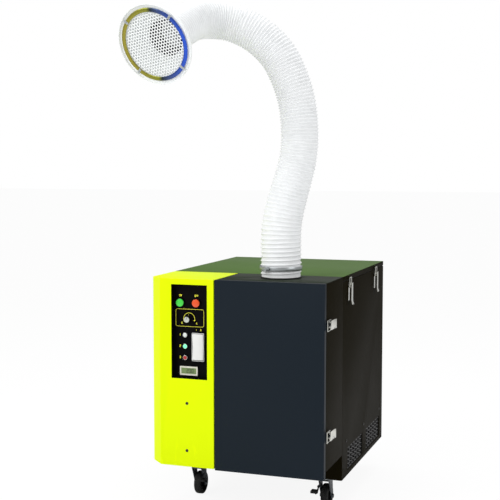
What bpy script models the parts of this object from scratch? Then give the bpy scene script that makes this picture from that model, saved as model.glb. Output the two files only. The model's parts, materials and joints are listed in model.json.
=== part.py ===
# Mobile welding fume extractor: a wheeled sheet metal cabinet with a self-standing hose and a hood.
# Metres, +Z up. The front faces -Y and the deck on top carries the hose.
# Cabinet places count from its front left corner on the floor. At the end everything is moved
# so that the middle of the whole object's footprint stands at the origin.

import math

import bmesh
import bpy
from mathutils import Matrix, Vector

for oldObject in list(bpy.data.objects):
    bpy.data.objects.remove(oldObject, do_unlink=True)

# Fits and making
GAP = 0.0003            # between pieces that touch
RUN = 0.0004            # between a pin and the bore that turns on it
SEAM = 0.002            # between neighbouring panels
OVERRUN = 0.004         # how far a cutter runs past what it cuts
BITE = 0.0005           # how far shapes of one piece run into each other
MERGE = 0.00001
SHEET = 0.002           # sheet metal
SHARP_ANGLE = math.radians(35)
ROUND_SIDES = 20
SMALL_SIDES = 10
WIRE_SIDES = 8
WHEEL_SIDES = 20
FULL_TURN = 2 * math.pi
HALF_SHARE = 0.5

# Cabinet
WIDTH = 0.550
DEPTH = 0.780
TOP = 0.7335            # deck and lid above the floor
BODY_BOTTOM = 0.105     # underside of the rear body, where the casters are bolted
FRONT_DEPTH = 0.211     # the section with the door and the controls
FRONT_FLOOR = 0.184     # underside of the front section
COVER_BOTTOM = 0.167    # lower edge of the yellow control cover
CONTROL_WIDTH = 0.2116
CHAMFER = 0.040
BODY_FLANGE = 0.020     # turned-in rim of the rear body
PAN_FLANGE = 0.012      # turned-up rim of the base pan
FRONT_FLANGE = 0.014    # turned-in rim of the front section

# Door and lid
DOOR_THICK = 0.019
DOOR_BOTTOM = 0.164
DOOR_SEAM = 0.003
LID_LIP = 0.015
GASKET_WIDE = 0.010
KNUCKLE_RADIUS = 0.003
HINGE_PIN_RADIUS = 0.0014
LEAF_THICK = 0.0012
DOOR_LEAF_WIDE = 0.022
LID_LEAF_WIDE = 0.0135
KNUCKLES = 5
KNUCKLE_PLAY = 0.0006
HINGE_INSET = 0.030     # from each end of the door or the lid to its hinge
HINGE_LIP = 0.0055      # how far the door's edge runs past its hinge pin

# Control panel
PANEL_LEFT = 0.0765
PANEL_WIDE = 0.1142
PANEL_BASE = 0.434
PANEL_TALL = 0.2825
PANEL_RECESS = 0.023
PANEL_FLANGE = 0.010
BUTTON_RADIUS = 0.0125
BUTTON_PROUD = 0.009
BUTTON_BEHIND = 0.014
BUTTON_HEAD_THICK = 0.006
BUTTON_STEM_RADIUS = 0.008
BUTTON_RIM = 0.002
BUTTON_TRAVEL = 0.003
BUTTON_DROP = 0.0567     # from the panel's upper edge
START_INSET = 0.0209    # from the panel's left edge
STOP_INSET = 0.0418     # from its right edge
KNOB_INSET = 0.0485     # from its left edge
KNOB_DROP = 0.0483      # from the buttons
KNOB_RADIUS = 0.0110
KNOB_SKIRT_RADIUS = 0.0135
KNOB_SKIRT = 0.004
KNOB_LONG = 0.028
KNOB_SHAFT_RADIUS = 0.003
KNOB_SHAFT_LONG = 0.010
KNOB_FLUTES = 10
KNOB_FLUTE_RADIUS = 0.0014
LAMP_INSET = 0.0370      # from the panel's left edge
LAMP_RADIUS = 0.0072
LAMP_PROUD = 0.004
LAMP_RISE = 0.0605      # the lowest lamp above the panel's lower edge
LAMP_PITCH = 0.03425
LAMP_COUNT = 3
ROCKER_INSET = 0.0353   # from the panel's right edge
ROCKER_CLEAR = 0.0138   # from the meter to the rocker's frame
ROCKER_WIDE = 0.0340
ROCKER_TALL = 0.0780
ROCKER_THICK = 0.006
ROCKER_CROWN = 0.004    # how far the rocker's ends stand past its middle
ROCKER_FRAME = 0.0032
ROCKER_FRAME_PROUD = 0.006
ROCKER_PIN_RADIUS = 0.0018
ROCKER_CRADLE = 0.010
METER_INSET = 0.0484     # from the panel's left edge
METER_RISE = 0.0206     # from its lower edge
METER_WIDE = 0.0577
METER_TALL = 0.0274
METER_PROUD = 0.004
METER_BEZEL = 0.005
METER_WINDOW_DEEP = 0.0015

# Hose inlet, hose and clamp
INLET_ACROSS = 0.378
INLET_BACK = 0.1326
SPIGOT_WALL = 0.002
SPIGOT_TALL = 0.075
SPIGOT_BELOW = 0.020
SPIGOT_FLANGE = 0.009
SPIGOT_FLANGE_THICK = 0.003
HOSE_RADIUS = 0.0585    # over the ribs' corners
HOSE_FOOT_RADIUS = 0.0625    # where it is pushed over the inlet
HOSE_STRAIGHT_SHARE = 0.10   # of the hose's length, at the foot's radius
HOSE_TAPER_SHARE = 0.25      # of the hose's length, from the foot's radius to the other
HOSE_VALLEY_DEPTH = 0.0030
HOSE_WALL = 0.0023
HOSE_RIBS = 100
HOSE_SIDES = 8
BORE_POINTS = 34
ARM_REACH = 0.2740      # inlet to the hood's end of the bent hose, level
ARM_RISE = 0.7655       # deck to the highest point of the hose's middle
ARM_AZIMUTH = math.radians(19.25)
HOOD_AZIMUTH = math.radians(9.5)
HOOD_DIP = math.radians(24.1)
CLAMP_BAND_THICK = 0.0010
CLAMP_BAND_TALL = 0.0120
CLAMP_RISE = 0.024
CLAMP_ANGLE = math.radians(27.7)
CLAMP_BOX_LONG = 0.020
CLAMP_BOX_DEEP = 0.009
CLAMP_SCREW_RADIUS = 0.0035
CLAMP_SCREW_LONG = 0.032
# The hose's middle between its straight ends: reach, rise and how far it leans to the front,
# the last also as a share of the reach
ARM_ROUTE_SHARES = (
    (-0.015, 0.224, 0.000),
    (-0.058, 0.296, 0.000),
    (-0.124, 0.381, 0.000),
    (-0.180, 0.463, 0.000),
    (-0.200, 0.560, 0.000),
    (-0.164, 0.690, -0.015),
    (-0.078, 0.787, -0.038),
    (0.042, 0.869, -0.070),
    (0.208, 0.931, -0.105),
    (0.383, 0.971, -0.130),
    (0.504, 0.988, -0.136),
    (0.641, 1.000, -0.119),
    (0.752, 1.002, -0.079),
    (0.853, 0.999, -0.016),
    (0.938, 0.991, 0.066),
    (1.000, 0.976, 0.157),
)
ROUTE_STEPS = 12

# Hood
HOOD_LENGTH = 0.074
MOUTH_RADIUS = 0.0965
RIM_RADIUS = 0.1155
HOOD_WALL = 0.0016
HOOD_SPIGOT_LONG = 0.045
HOOD_THROAT_RADIUS = 0.0540
HOOD_THROAT_LONG = 0.008
RIM_ROLL = 0.006
RING_INNER_RADIUS = 0.0950
RING_OUTER_RADIUS = 0.1050
RING_THICK = 0.0022
MESH_RADIUS = 0.1020
MESH_THICK = 0.0010
MESH_PITCH = 0.0165
MESH_HOLE = 0.0130
HOOD_SIDES = 32

# Casters
WHEEL_RADIUS = 0.0375
WHEEL_WIDE = 0.024
HUB_RADIUS = 0.013
HUB_WIDE = 0.029
AXLE_RADIUS = 0.004
AXLE_HEAD_RADIUS = 0.007
AXLE_HEAD_THICK = 0.004
TREAD_ROUND = 0.004
FRONT_CASTER_SIDE = 0.0625   # from each side of the cabinet
FRONT_CASTER_BACK = 0.251
REAR_CASTER_SIDE = 0.110
REAR_CASTER_INSET = 0.080    # from the back of the cabinet
CASTER_TRAIL = 0.018
CASTER_PLATE_LONG = 0.070
CASTER_PLATE_WIDE = 0.060
CASTER_PLATE_THICK = 0.0025
RACE_RADIUS = 0.0210
RACE_TALL = 0.0070
KINGPIN_RADIUS = 0.0050
KINGPIN_HEAD_RADIUS = 0.0085
KINGPIN_HEAD_THICK = 0.0030
FORK_SHEET = 0.0028
FORK_CROWN_LONG = 0.040
FORK_FOOT_RADIUS = 0.010
PEDAL_PIVOT_RISE = 0.034     # above the axle
PEDAL_PIVOT_FORE = 0.012     # ahead of the swivel axis
PEDAL_ARM_TALL = 0.012
PEDAL_ARM_THICK = 0.0025
PEDAL_REACH = 0.034
PEDAL_TREAD_WIDE = 0.018
PEDAL_TREAD_LONG = 0.022
PEDAL_TREAD_THICK = 0.007
PEDAL_DROP = 0.012
PEDAL_PIN_RADIUS = 0.003
PEDAL_RIDGES = 4
PEDAL_RIDGE = 0.0012

# Latches: their own measures along the pull, across it and out of the sheet
LATCH_PIVOT_OUT = 0.0070
LATCH_PIN_RADIUS = 0.0016
LATCH_PLATE = 0.0014
LATCH_EAR = 0.0014
LATCH_EAR_ROUND = 0.0030
LATCH_EAR_SWEEP = math.radians(-28)     # where the ear's round ends, so that the open lever's nose clears it
LATCH_EAR_FOOT_SHARE = 0.3              # of that round, what is left of the ear's front at its foot
LATCH_BLOCK_ROUND = 0.0040
LATCH_THROW = 0.0100         # lever pin to bail pin
BAIL_WIRE = 0.0013
BAIL_DROP = 0.0010
LEVER_SKIN = 0.0016
LEVER_LIFT = 0.0034          # lever pin to the underside of the lever
LEVER_NOSE = 0.0030          # lever pin to the front of the lever
LEVER_FLARE = 0.0035
LEVER_FLARE_LONG = 0.012
KEEPER_LIP_THICK = 0.0014
KEEPER_SHORT = 0.0004        # how far the hook stays below the bail
DOOR_LATCH_RISE = 0.124      # the lower one above the door's lower edge
DOOR_LATCH_DROP = 0.1215     # the upper one below the top
DOOR_LATCH_WIDE = 0.033
DOOR_LATCH_LEVER = 0.044
DOOR_LATCH_PIVOT = 0.013     # behind the seam
DOOR_LATCH_BAR = 0.010       # past the seam
LID_LATCH_FRONT = 0.069      # the front one behind the lid's front
LID_LATCH_REAR = 0.142       # the rear one before the lid's back
LID_LATCH_WIDE = 0.024
LID_LATCH_LEVER = 0.064
LID_LATCH_PIVOT = 0.010
LID_LATCH_BAR = 0.0090

# Vents and their mesh
VENT_FRONT_INSET = 0.070     # from the front of the rear body
VENT_POST = 0.055            # between the two windows
VENT_BACK_INSET = 0.048
VENT_BASE = 0.121
VENT_TALL = 0.070
VENT_MESH_MARGIN = 0.012
VENT_MESH_BELOW = 0.003
VENT_MESH_THICK = 0.0015
VENT_ROWS = 5
VENT_COLUMNS = 6
VENT_WEB = 0.0030
VENT_SLANT = 0.0060

# Inside
DUCT_ACROSS = 0.380
DUCT_WIDE = 0.220
DUCT_BASE = 0.575
DUCT_TALL = 0.110
SCREEN_MARGIN = 0.018
SCREEN_DEEP = 0.014
SCREEN_ROWS = 3
SCREEN_COLUMNS = 7
SCREEN_WEB = 0.006
SCREEN_STAND_OFF = 0.010
TRAY_SIDE_PLAY = 0.018
TRAY_TALL = 0.045
TRAY_GRIP = 0.016
SHELF_HEIGHT = 0.330
SHELF_MARGIN = 0.004
FILTER_TALL = 0.150
FILTER_SIDE_PLAY = 0.024
FILTER_FRAME = 0.014
FILTER_MARGIN = 0.006
FILTER_PLEATS = 20
FILTER_MEDIA = 0.012         # its thickness measured upright, on a steep slope
BLOWER_ACROSS = 0.262
BLOWER_BACK = 0.480
BLOWER_TALL = 0.092
BLOWER_WALL = 0.002
BLOWER_GAP = 0.010           # shelf to the scroll's top
SCROLL_RADIUS = 0.128        # at the tongue
SCROLL_GROWTH = 0.055        # what the spiral gains in a full turn
SCROLL_POINTS = 28
SCROLL_OUTLET_LONG = 0.150
INLET_EYE_RADIUS = 0.068
IMPELLER_RADIUS = 0.110
IMPELLER_PLATE = 0.0025
BLADE_TALL = 0.056
BLADE_THICK = 0.0022
BLADE_COUNT = 9
BLADE_POINTS = 4
BLADE_SWEEP = math.radians(62)
IMPELLER_LIFT = 0.014
IMPELLER_HUB_RADIUS = 0.018
IMPELLER_HUB_TALL = 0.026
SHAFT_RADIUS = 0.006
SHAFT_BELOW = 0.050
MOTOR_RADIUS = 0.062
MOTOR_TALL = 0.085
MOTOR_FINS = 16
MOTOR_FIN_DEEP = 0.006
MOTOR_FIN_THICK = 0.003
MOTOR_BOX_WIDE = 0.050
MOTOR_BOX_TALL = 0.050
MOTOR_BOX_DEEP = 0.030
MOTOR_FLANGE = 0.012
MOTOR_FLANGE_THICK = 0.005
GLAND_INSET = 0.080          # from the right side
GLAND_HEIGHT = 0.150
GLAND_RADIUS = 0.011
GLAND_NUT_RADIUS = 0.014
GLAND_NUT_LONG = 0.006
GLAND_DOME_LONG = 0.016
GLAND_BORE_RADIUS = 0.0045
GLAND_TUBE_RADIUS = 0.0080
GLAND_TUBE_LONG = 0.012

COLOURS = {
    "yellow_paint": ((0.80, 1.00, 0.00), 0.40, 0.0),
    "dark_paint": ((0.022, 0.030, 0.038), 0.38, 0.0),
    "black_paint": ((0.012, 0.012, 0.012), 0.45, 0.0),
    "black_plastic": ((0.010, 0.010, 0.010), 0.50, 0.0),
    "white_hose": ((0.86, 0.87, 0.88), 0.45, 0.0),
    "white_paint": ((0.88, 0.89, 0.90), 0.35, 0.0),
    "steel": ((0.62, 0.62, 0.62), 0.15, 1.0),
    "zinc": ((0.55, 0.57, 0.58), 0.35, 1.0),
    "chrome": ((0.80, 0.80, 0.78), 0.10, 1.0),
    "rubber": ((0.015, 0.015, 0.015), 0.80, 0.0),
    "foam": ((0.030, 0.030, 0.030), 0.95, 0.0),
    "green_plastic": ((0.04, 0.62, 0.12), 0.30, 0.0),
    "red_plastic": ((0.90, 0.13, 0.03), 0.30, 0.0),
    "white_plastic": ((0.85, 0.85, 0.85), 0.35, 0.0),
    "knob_plastic": ((0.60, 0.62, 0.60), 0.30, 0.0),
    "galvanised": ((0.50, 0.52, 0.54), 0.45, 1.0),
    "paper": ((0.80, 0.79, 0.74), 0.90, 0.0),
    "motor_paint": ((0.10, 0.12, 0.14), 0.45, 0.2),
}

# Sizes worked out from the ones above
RIM = TOP - LID_LIP - SEAM                  # top edge of the rear body's walls
DOOR_LEFT = CONTROL_WIDTH + DOOR_SEAM
DOOR_HINGE_X = DOOR_LEFT + HINGE_LIP
DOOR_HINGE_Y = SHEET + GAP + KNUCKLE_RADIUS
DIVIDER_LEFT = DOOR_HINGE_X + KNUCKLE_RADIUS + GAP
FRONT_EDGE = DOOR_THICK + SEAM              # front edge of what stands behind the door
PANEL_RIGHT = PANEL_LEFT + PANEL_WIDE
PANEL_TOP = PANEL_BASE + PANEL_TALL
BUTTON_HEIGHT = PANEL_TOP - BUTTON_DROP
START_ACROSS = PANEL_LEFT + START_INSET
STOP_ACROSS = PANEL_RIGHT - STOP_INSET
KNOB_ACROSS = PANEL_LEFT + KNOB_INSET
KNOB_HEIGHT = BUTTON_HEIGHT - KNOB_DROP
LAMP_ACROSS = PANEL_LEFT + LAMP_INSET
LAMP_HEIGHTS = [PANEL_BASE + LAMP_RISE + LAMP_PITCH * lamp for lamp in range(LAMP_COUNT)]
METER_ACROSS = PANEL_LEFT + METER_INSET
METER_HEIGHT = PANEL_BASE + METER_RISE
ROCKER_ACROSS = PANEL_RIGHT - ROCKER_INSET
ROCKER_HALF_TALL = ROCKER_TALL * HALF_SHARE + RUN + ROCKER_CROWN     # the well that it sits in
ROCKER_HEIGHT = METER_HEIGHT + METER_TALL * HALF_SHARE + ROCKER_CLEAR + ROCKER_FRAME + ROCKER_HALF_TALL
REAR_CASTER_BACK = DEPTH - REAR_CASTER_INSET
DOOR_LATCH_HEIGHTS = (DOOR_BOTTOM + DOOR_LATCH_RISE, TOP - DOOR_LATCH_DROP)
LID_LATCH_BACKS = (FRONT_DEPTH + LID_LATCH_FRONT, DEPTH - LID_LATCH_REAR)
VENT_SPAN = DEPTH - FRONT_DEPTH - VENT_FRONT_INSET - VENT_BACK_INSET
VENT_LONG = (VENT_SPAN - VENT_POST) * HALF_SHARE
VENT_FRONTS = (FRONT_DEPTH + VENT_FRONT_INSET, FRONT_DEPTH + VENT_FRONT_INSET + VENT_LONG + VENT_POST)
GLAND_ACROSS = WIDTH - GLAND_INSET
LID_HINGE_X = -(GAP + KNUCKLE_RADIUS)
LID_HINGE_Z = RIM + SEAM * HALF_SHARE
HOSE_SKIN = HOSE_VALLEY_DEPTH + HOSE_WALL
HOSE_FLAT_SHARE = math.cos(math.pi / HOSE_SIDES)     # across a side over across a corner
SPIGOT_RADIUS = (HOSE_FOOT_RADIUS - HOSE_SKIN) * HOSE_FLAT_SHARE - GAP
HOOD_SPIGOT_RADIUS = (HOSE_RADIUS - HOSE_SKIN) * HOSE_FLAT_SHARE - GAP


def material(name):
    """One Principled material for each finish, made once."""
    found = bpy.data.materials.get(name)
    if found:
        return found
    colour, roughness, metallic = COLOURS[name]
    made = bpy.data.materials.new(name)
    made.use_nodes = True
    shader = made.node_tree.nodes["Principled BSDF"]
    shader.inputs["Base Color"].default_value = (*colour, 1)
    shader.inputs["Roughness"].default_value = roughness
    shader.inputs["Metallic"].default_value = metallic
    return made


def solid(bm):
    """Turn a bmesh into a working object, closed and with its faces pointing out."""
    bmesh.ops.remove_doubles(bm, verts=bm.verts, dist=MERGE)
    bmesh.ops.recalc_face_normals(bm, faces=bm.faces)
    mesh = bpy.data.meshes.new("shape")
    bm.to_mesh(mesh)
    bm.free()
    made = bpy.data.objects.new("shape", mesh)
    bpy.context.scene.collection.objects.link(made)
    return made


def block(low, high):
    """A box between two corners."""
    bm = bmesh.new()
    bmesh.ops.create_cube(bm, size=1)
    for vertex in bm.verts:
        for axis in range(3):
            vertex.co[axis] = low[axis] if vertex.co[axis] < 0 else high[axis]
    return solid(bm)


def prism(outline, axis, low, high):
    """Extrude a flat outline along X, Y or Z. The outline holds the other two coordinates in order."""
    bm = bmesh.new()
    others = [index for index in range(3) if index != axis]
    corners = []
    for point in outline:
        place = [0, 0, 0]
        place[others[0]], place[others[1]], place[axis] = point[0], point[1], low
        corners.append(bm.verts.new(place))
    face = bm.faces.new(corners)
    raised = bmesh.ops.extrude_face_region(bm, geom=[face])
    move = Vector((0, 0, 0))
    move[axis] = high - low
    lifted = [item for item in raised["geom"] if isinstance(item, bmesh.types.BMVert)]
    bmesh.ops.translate(bm, vec=move, verts=lifted)
    return solid(bm)


def turned(profile, sides, phase=0.0):
    """Turn a closed outline of (radius, height) points about Z."""
    bm = bmesh.new()
    rings = []
    for step in range(sides):
        angle = FULL_TURN * step / sides + phase
        rings.append([bm.verts.new((r * math.cos(angle), r * math.sin(angle), z)) for r, z in profile])
    count = len(profile)
    for step in range(sides):
        here, there = rings[step], rings[(step + 1) % sides]
        for index in range(count):
            after = (index + 1) % count
            on_axis = [profile[index][0] == 0, profile[after][0] == 0]
            if all(on_axis):
                continue
            if on_axis[0]:
                bm.faces.new((here[index], here[after], there[after]))
            elif on_axis[1]:
                bm.faces.new((here[index], here[after], there[index]))
            else:
                bm.faces.new((here[index], here[after], there[after], there[index]))
    return solid(bm)


def moved(shape, matrix):
    """Place a working shape by changing its mesh."""
    shape.data.transform(matrix)
    if matrix.determinant() < 0:
        shape.data.flip_normals()
    return shape


def along(direction, place):
    """A matrix that turns +Z to a direction and moves to a place."""
    turn = Vector((0, 0, 1)).rotation_difference(Vector(direction).normalized())
    return Matrix.Translation(place) @ turn.to_matrix().to_4x4()


def rod(start, end, radius, sides=SMALL_SIDES):
    """A round bar between two points."""
    start, end = Vector(start), Vector(end)
    length = (end - start).length
    shape = turned(((0, 0), (radius, 0), (radius, length), (0, length)), sides)
    return moved(shape, along(end - start, start))


def combine(first, others, operation):
    """Boolean the first shape with each of the others in turn and drop those."""
    for other in others:
        step = first.modifiers.new("step", "BOOLEAN")
        step.operation = operation
        step.solver = "EXACT"
        step.object = other
        bpy.context.view_layer.update()
        depsgraph = bpy.context.evaluated_depsgraph_get()
        result = bpy.data.meshes.new_from_object(first.evaluated_get(depsgraph))
        first.modifiers.clear()
        first.data = result
        bpy.data.objects.remove(other, do_unlink=True)
    return first


def join(first, *others):
    return combine(first, others, "UNION")


def cut(first, *others):
    return combine(first, others, "DIFFERENCE")


def together(shapes):
    """Several shapes that don't touch, as one working object."""
    bm = bmesh.new()
    for shape in shapes:
        bm.from_mesh(shape.data)
        bpy.data.objects.remove(shape, do_unlink=True)
    return solid(bm)


finished = []


def finish(shape, name, finish_name, pivot=(0, 0, 0)):
    """Name a piece, give it its material and put its origin on its joint's axis."""
    shape.name = name
    shape.data.name = name
    shape.data.materials.clear()
    shape.data.materials.append(material(finish_name))
    shape.data.transform(Matrix.Translation(-Vector(pivot)))
    shape.location = pivot
    shape.data.shade_smooth()
    shape.data.set_sharp_from_angle(angle=SHARP_ANGLE)
    finished.append(shape)
    return shape


def arc(centre, radius, start, end, steps):
    """Points on an arc, angles in radians."""
    return [
        (
            centre[0] + radius * math.cos(start + (end - start) * step / steps),
            centre[1] + radius * math.sin(start + (end - start) * step / steps),
        )
        for step in range(steps + 1)
    ]


# The rear body: a base pan, two sides, a back and the wall towards the front section


def rear_body():
    inset = SHEET + GAP
    pan = block((inset, FRONT_DEPTH + inset, BODY_BOTTOM),
                (WIDTH - inset, DEPTH - inset, BODY_BOTTOM + PAN_FLANGE))
    hollow = block((inset + SHEET, FRONT_DEPTH + inset + SHEET, BODY_BOTTOM + SHEET),
                   (WIDTH - inset - SHEET, DEPTH - inset - SHEET, BODY_BOTTOM + PAN_FLANGE + OVERRUN))
    finish(cut(pan, hollow), "base_pan", "dark_paint")

    for name, outer, inner in (("left_side_panel", 0, 1), ("right_side_panel", WIDTH, -1)):
        across = sorted((outer, outer + inner * SHEET))
        rim = sorted((outer, outer + inner * BODY_FLANGE))
        side = block((across[0], FRONT_DEPTH, BODY_BOTTOM), (across[1], DEPTH, RIM))
        side = join(side, block((rim[0], FRONT_DEPTH, RIM - SHEET), (rim[1], DEPTH, RIM)))
        if inner < 0:
            for front in VENT_FRONTS:
                window = block((across[0] - OVERRUN, front, VENT_BASE),
                               (across[1] + OVERRUN, front + VENT_LONG, VENT_BASE + VENT_TALL))
                side = cut(side, window)
        finish(side, name, "dark_paint")

    for name, outer, inner in (("rear_panel", DEPTH, -1), ("front_wall", FRONT_DEPTH, 1)):
        across = sorted((outer, outer + inner * SHEET))
        rim = sorted((outer, outer + inner * BODY_FLANGE))
        wall = block((inset, across[0], BODY_BOTTOM), (WIDTH - inset, across[1], RIM))
        corner = BODY_FLANGE + GAP
        wall = join(wall, block((corner, rim[0], RIM - SHEET), (WIDTH - corner, rim[1], RIM)))
        notch = SHEET + GAP + BODY_FLANGE
        for low, high in ((0, notch), (WIDTH - notch, WIDTH)):
            wall = cut(wall, block((low, across[0] - OVERRUN, RIM - SHEET - GAP),
                                   (high, across[1] + OVERRUN, RIM + OVERRUN)))
        if name == "front_wall":
            wall = cut(wall, block((DUCT_ACROSS - DUCT_WIDE * HALF_SHARE, across[0] - OVERRUN, DUCT_BASE),
                                   (DUCT_ACROSS + DUCT_WIDE * HALF_SHARE, across[1] + OVERRUN,
                                    DUCT_BASE + DUCT_TALL)))
        else:
            wall = cut(wall, rod((GLAND_ACROSS, across[0] - OVERRUN, GLAND_HEIGHT),
                                 (GLAND_ACROSS, across[1] + OVERRUN, GLAND_HEIGHT),
                                 GLAND_TUBE_RADIUS + GAP))
        finish(wall, name, "dark_paint")


def front_section():
    """The folded box behind the door: floor, divider and right side, with turned-in front edges."""
    back = FRONT_DEPTH - GAP
    inside = SHEET + GAP
    slope = CHAMFER + inside * math.tan(math.pi / 8)
    outline = ((slope, FRONT_EDGE), (WIDTH, FRONT_EDGE), (WIDTH, back), (inside, back), (inside, slope))
    floor = prism(outline, 2, FRONT_FLOOR, FRONT_FLOOR + SHEET)
    high = TOP - SHEET - GAP
    case = block((DIVIDER_LEFT, FRONT_EDGE, FRONT_FLOOR), (WIDTH, back, high))
    hollow = block((DIVIDER_LEFT + SHEET, FRONT_EDGE + SHEET, FRONT_FLOOR + SHEET),
                   (WIDTH - SHEET, back + OVERRUN, high + OVERRUN))
    window = block((DIVIDER_LEFT + FRONT_FLANGE, FRONT_EDGE - OVERRUN, FRONT_FLOOR + FRONT_FLANGE),
                   (WIDTH - FRONT_FLANGE, FRONT_EDGE + SHEET + OVERRUN, high + OVERRUN))
    case = cut(case, hollow, window)
    finish(join(case, floor), "front_box", "black_paint")

    deck_front = block((DOOR_LEFT, FRONT_EDGE, TOP - SHEET), (WIDTH, FRONT_DEPTH, TOP))
    lip_low = TOP - SHEET - FRONT_FLANGE
    lip = block((DIVIDER_LEFT + FRONT_FLANGE + GAP, FRONT_EDGE, lip_low),
                (WIDTH - FRONT_FLANGE - GAP, FRONT_EDGE + SHEET, TOP - BITE))
    deck = join(deck_front, lip)
    hole = rod((INLET_ACROSS, INLET_BACK, TOP - SHEET - OVERRUN), (INLET_ACROSS, INLET_BACK, TOP + OVERRUN),
               SPIGOT_RADIUS + GAP, ROUND_SIDES)
    finish(cut(deck, hole), "front_deck", "dark_paint")


def control_cover():
    """The yellow cover: front, bevelled corner, left side and top in one folding."""
    outer = ((CONTROL_WIDTH, 0), (CHAMFER, 0), (0, CHAMFER), (0, FRONT_DEPTH - GAP),
             (CONTROL_WIDTH, FRONT_DEPTH - GAP))
    cover = prism(outer, 2, COVER_BOTTOM, TOP)
    bend = CHAMFER + SHEET * math.tan(math.pi / 8)
    far = CONTROL_WIDTH + OVERRUN
    inner = ((CONTROL_WIDTH - SHEET, SHEET), (bend, SHEET), (SHEET, bend), (SHEET, FRONT_DEPTH + OVERRUN),
             (far, FRONT_DEPTH + OVERRUN), (far, DOOR_THICK), (CONTROL_WIDTH - SHEET, DOOR_THICK))
    cover = cut(cover, prism(inner, 2, COVER_BOTTOM - OVERRUN, TOP - SHEET))
    opening = block((PANEL_LEFT, -OVERRUN, PANEL_BASE),
                    (PANEL_RIGHT, SHEET + OVERRUN, PANEL_TOP))
    finish(cut(cover, opening), "control_cover", "yellow_paint")


# The control plate and what sits in it


def control_plate():
    face = PANEL_RECESS
    right = PANEL_RIGHT
    high = PANEL_TOP
    front = SHEET + GAP
    flange = block((PANEL_LEFT - PANEL_FLANGE, front, PANEL_BASE - PANEL_FLANGE),
                   (right + PANEL_FLANGE, front + SHEET, high + PANEL_FLANGE))
    tray = block((PANEL_LEFT - SHEET, front, PANEL_BASE - SHEET), (right + SHEET, face + SHEET, high + SHEET))
    plate = join(flange, tray)
    plate = cut(plate, block((PANEL_LEFT, front - OVERRUN, PANEL_BASE), (right, face, high)))

    added, taken = [], []
    for across in (START_ACROSS, STOP_ACROSS):
        added.append(rod((across, face - BUTTON_PROUD * HALF_SHARE, BUTTON_HEIGHT),
                         (across, face + BITE, BUTTON_HEIGHT), BUTTON_RADIUS + GAP + BUTTON_RIM, ROUND_SIDES))
        head, stem = BUTTON_RADIUS + GAP, BUTTON_STEM_RADIUS + GAP
        floor = BUTTON_HEAD_THICK + BUTTON_TRAVEL + GAP - BUTTON_PROUD
        profile = ((0, -BUTTON_PROUD), (head, -BUTTON_PROUD), (head, floor), (stem, floor),
                   (stem, SHEET + OVERRUN), (0, SHEET + OVERRUN))
        taken.append(moved(turned(profile, ROUND_SIDES), along((0, 1, 0), (across, face, BUTTON_HEIGHT))))
    for height in LAMP_HEIGHTS:
        added.append(rod((LAMP_ACROSS, face - LAMP_PROUD, height), (LAMP_ACROSS, face + BITE, height),
                         LAMP_RADIUS))
    taken.append(rod((KNOB_ACROSS, face - OVERRUN, KNOB_HEIGHT),
                     (KNOB_ACROSS, face + SHEET + OVERRUN, KNOB_HEIGHT), KNOB_SHAFT_RADIUS + RUN))

    half_wide = ROCKER_WIDE * HALF_SHARE + RUN
    half_tall = ROCKER_HALF_TALL
    added.append(block((ROCKER_ACROSS - half_wide - ROCKER_FRAME, face - ROCKER_FRAME_PROUD,
                        ROCKER_HEIGHT - half_tall - ROCKER_FRAME),
                       (ROCKER_ACROSS + half_wide + ROCKER_FRAME, face + ROCKER_CRADLE + SHEET,
                        ROCKER_HEIGHT + half_tall + ROCKER_FRAME)))
    # The rocker's pin is what the well's cutter leaves standing
    well = block((ROCKER_ACROSS - half_wide, face - ROCKER_FRAME_PROUD - OVERRUN, ROCKER_HEIGHT - half_tall),
                 (ROCKER_ACROSS + half_wide, face + ROCKER_CRADLE, ROCKER_HEIGHT + half_tall))
    pin = rod((ROCKER_ACROSS - half_wide - OVERRUN, face, ROCKER_HEIGHT),
              (ROCKER_ACROSS + half_wide + OVERRUN, face, ROCKER_HEIGHT), ROCKER_PIN_RADIUS)
    taken.append(cut(well, pin))

    wide, tall = METER_WIDE * HALF_SHARE, METER_TALL * HALF_SHARE
    low = (METER_ACROSS - wide, face - METER_PROUD, METER_HEIGHT - tall)
    high = (METER_ACROSS + wide, face + BITE, METER_HEIGHT + tall)
    added.append(block(low, high))
    taken.append(block((low[0] + METER_BEZEL, low[1] - OVERRUN, low[2] + METER_BEZEL),
                       (high[0] - METER_BEZEL, low[1] + METER_WINDOW_DEEP, high[2] - METER_BEZEL)))
    plate = cut(join(plate, together(added)), together(taken))
    finish(plate, "control_plate", "black_plastic")


def push_button(name, across, colour):
    """A domed head on a stem that goes through the plate, with a flange behind it."""
    reach = BUTTON_BEHIND + BUTTON_TRAVEL
    head_back = -BUTTON_PROUD + BUTTON_HEAD_THICK
    profile = ((0, -BUTTON_PROUD - BUTTON_RIM),
               (BUTTON_RADIUS * HALF_SHARE, -BUTTON_PROUD - BUTTON_RIM * HALF_SHARE),
               (BUTTON_RADIUS - BUTTON_RIM, -BUTTON_PROUD), (BUTTON_RADIUS, -BUTTON_PROUD + BUTTON_RIM),
               (BUTTON_RADIUS, head_back), (BUTTON_STEM_RADIUS, head_back), (BUTTON_STEM_RADIUS, reach),
               (0, reach))
    shape = moved(turned(profile, ROUND_SIDES), along((0, 1, 0), (across, PANEL_RECESS, BUTTON_HEIGHT)))
    finish(shape, name, colour, (across, PANEL_RECESS, BUTTON_HEIGHT))


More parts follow.
